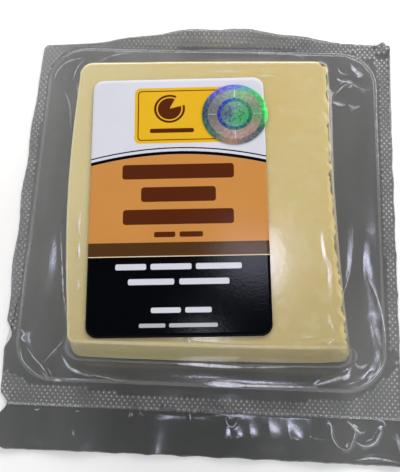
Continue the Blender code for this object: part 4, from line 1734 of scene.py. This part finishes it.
@dataclass(frozen=True)
class Studio:
    """Pale floor, pale room with a dark ceiling patch, a small ceiling lamp and a low bank behind.

    Attributes:
        lamps: The lamps.
        floor_colour: Colour of the floor.
        floor_size: Its width, in metres.
        room: Light of the room's walls.
        patch: Light of the dark ceiling patch, which level film mirrors.
        patch_way: Direction of the patch's middle.
        patch_edges: Cosines between which the patch fades in.
    """

    lamps: tuple[Lamp, ...] = (
        Lamp("ceiling_lamp", (0.045, 0.32, 1.2), (0.1, 0.085), 0.43, (0.78, 0.79, 1.0)),
        Lamp("small_lamp", (-0.035, 0.17, 1.2), (0.03, 0.03), 0.1, (0.85, 0.86, 1.0)),
        Lamp("back_bank", (0.1, 0.38, 0.25), (0.9, 0.2), 2.45, (1.0, 0.98, 0.96)),
        Lamp("front_window", (0.05, -0.8, 0.8), (0.3, 0.25), 0.45, (0.8, 0.87, 1.0)),
    )
    floor_colour: Colour = (0.93, 0.93, 0.93, 1.0)
    floor_size: float = 4.0
    room: Colour = (0.93, 0.93, 0.93, 1.0)
    patch: Colour = (0.05, 0.05, 0.055, 1.0)
    patch_way: tuple[float, float, float] = (-0.03, 0.33, 0.944)
    patch_edges: tuple[float, float] = (0.72, 0.88)

    def floor(self) -> bpy.types.Object:
        """Lays the floor just under the pack."""
        work = bmesh.new()
        bmesh.ops.create_grid(work, x_segments=2, y_segments=2, size=self.floor_size / 2)
        bmesh.ops.translate(work, verts=work.verts, vec=(0.0, 0.0, -0.2 * MM))
        mesh = bpy.data.meshes.new("floor")
        work.to_mesh(mesh)
        work.free()
        bench = Bench("pale floor")
        grain = bench.spread(bench.noise(bench.place(), 0.02, 3.0), 0.3, 0.7, 0.0, 0.06)
        shader = bench.shader(
            Base_Color=bench.mix(grain, self.floor_colour, (0.8, 0.8, 0.8, 1.0)),
            Roughness=0.8,
            Specular_IOR_Level=0.1,
            Emission_Strength=0.12,
        )
        mesh.materials.append(bench.done(shader))
        made = linked("floor", mesh)
        return made

    def world(self) -> None:
        """Lights the room: pale, with a dark patch that the pack's level faces mirror."""
        bench = Bench("pale room", world=True)
        way = bench.add("TexCoord").outputs["Generated"]
        rise = bench.spread(bench.vector("DOT_PRODUCT", way, self.patch_way), *self.patch_edges)
        rise.node.interpolation_type = "SMOOTHSTEP"
        ground = bench.add("Background")
        bench.feed(ground.inputs["Color"], bench.mix(rise, self.room, self.patch))
        bpy.context.scene.world = bench.done(ground)

    def build(self) -> None:
        """Sets the stage."""
        self.floor()
        self.world()
        for lamp in self.lamps:
            lamp.hang()
        bpy.context.scene.view_settings.view_transform = "Standard"
        LOG.info("studio: %d lamps", len(self.lamps))


@dataclass(frozen=True)
class ViewPoint:
    """The camera over the pack, at the photograph's viewing angle.

    Attributes:
        place: Where it stands, in millimetres.
        tilt: How far it leans back from looking straight down, in degrees.
        roll: How far it is turned about its own line of sight, in degrees.
        turn: How far it is turned about the upright, in degrees.
        focal: Focal length in frame widths.
    """

    place: tuple[float, float, float] = (8.31, -73.42, 224.5)
    tilt: float = 17.6
    roll: float = -5.75
    turn: float = 8.0
    focal: float = 1.89
    sensor: float = 36.0

    def build(self) -> bpy.types.Object:
        """Sets the camera up and makes it the scene's."""
        lens = bpy.data.cameras.new("camera")
        lens.sensor_fit = "HORIZONTAL"
        lens.sensor_width = self.sensor
        lens.lens = self.focal * self.sensor
        lens.clip_start = 0.01
        lens.clip_end = 20.0
        made = linked("camera", lens)
        pose = Matrix.Translation(Vector(self.place) * MM)
        for angle, axis in ((self.turn, "Z"), (self.tilt, "X"), (self.roll, "Z")):
            pose = pose @ Matrix.Rotation(math.radians(angle), 4, axis)
        made.matrix_world = pose
        bpy.context.scene.camera = made
        return made


def main() -> None:
    """Builds the dressed pack round its frame, in order."""
    logging.basicConfig(level=logging.INFO, format="%(name)s %(message)s")
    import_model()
    ViewPoint().build()
    Studio().build()
    pieces = (BackWeb, CheddarBlock, FormedFilm, KnurledSeal, LooseFrontEdge, PaperLabel, FoilSticker)
    for piece in pieces:
        piece().build()
    bpy.context.view_layer.update()


if __name__ == "__main__":
    main()
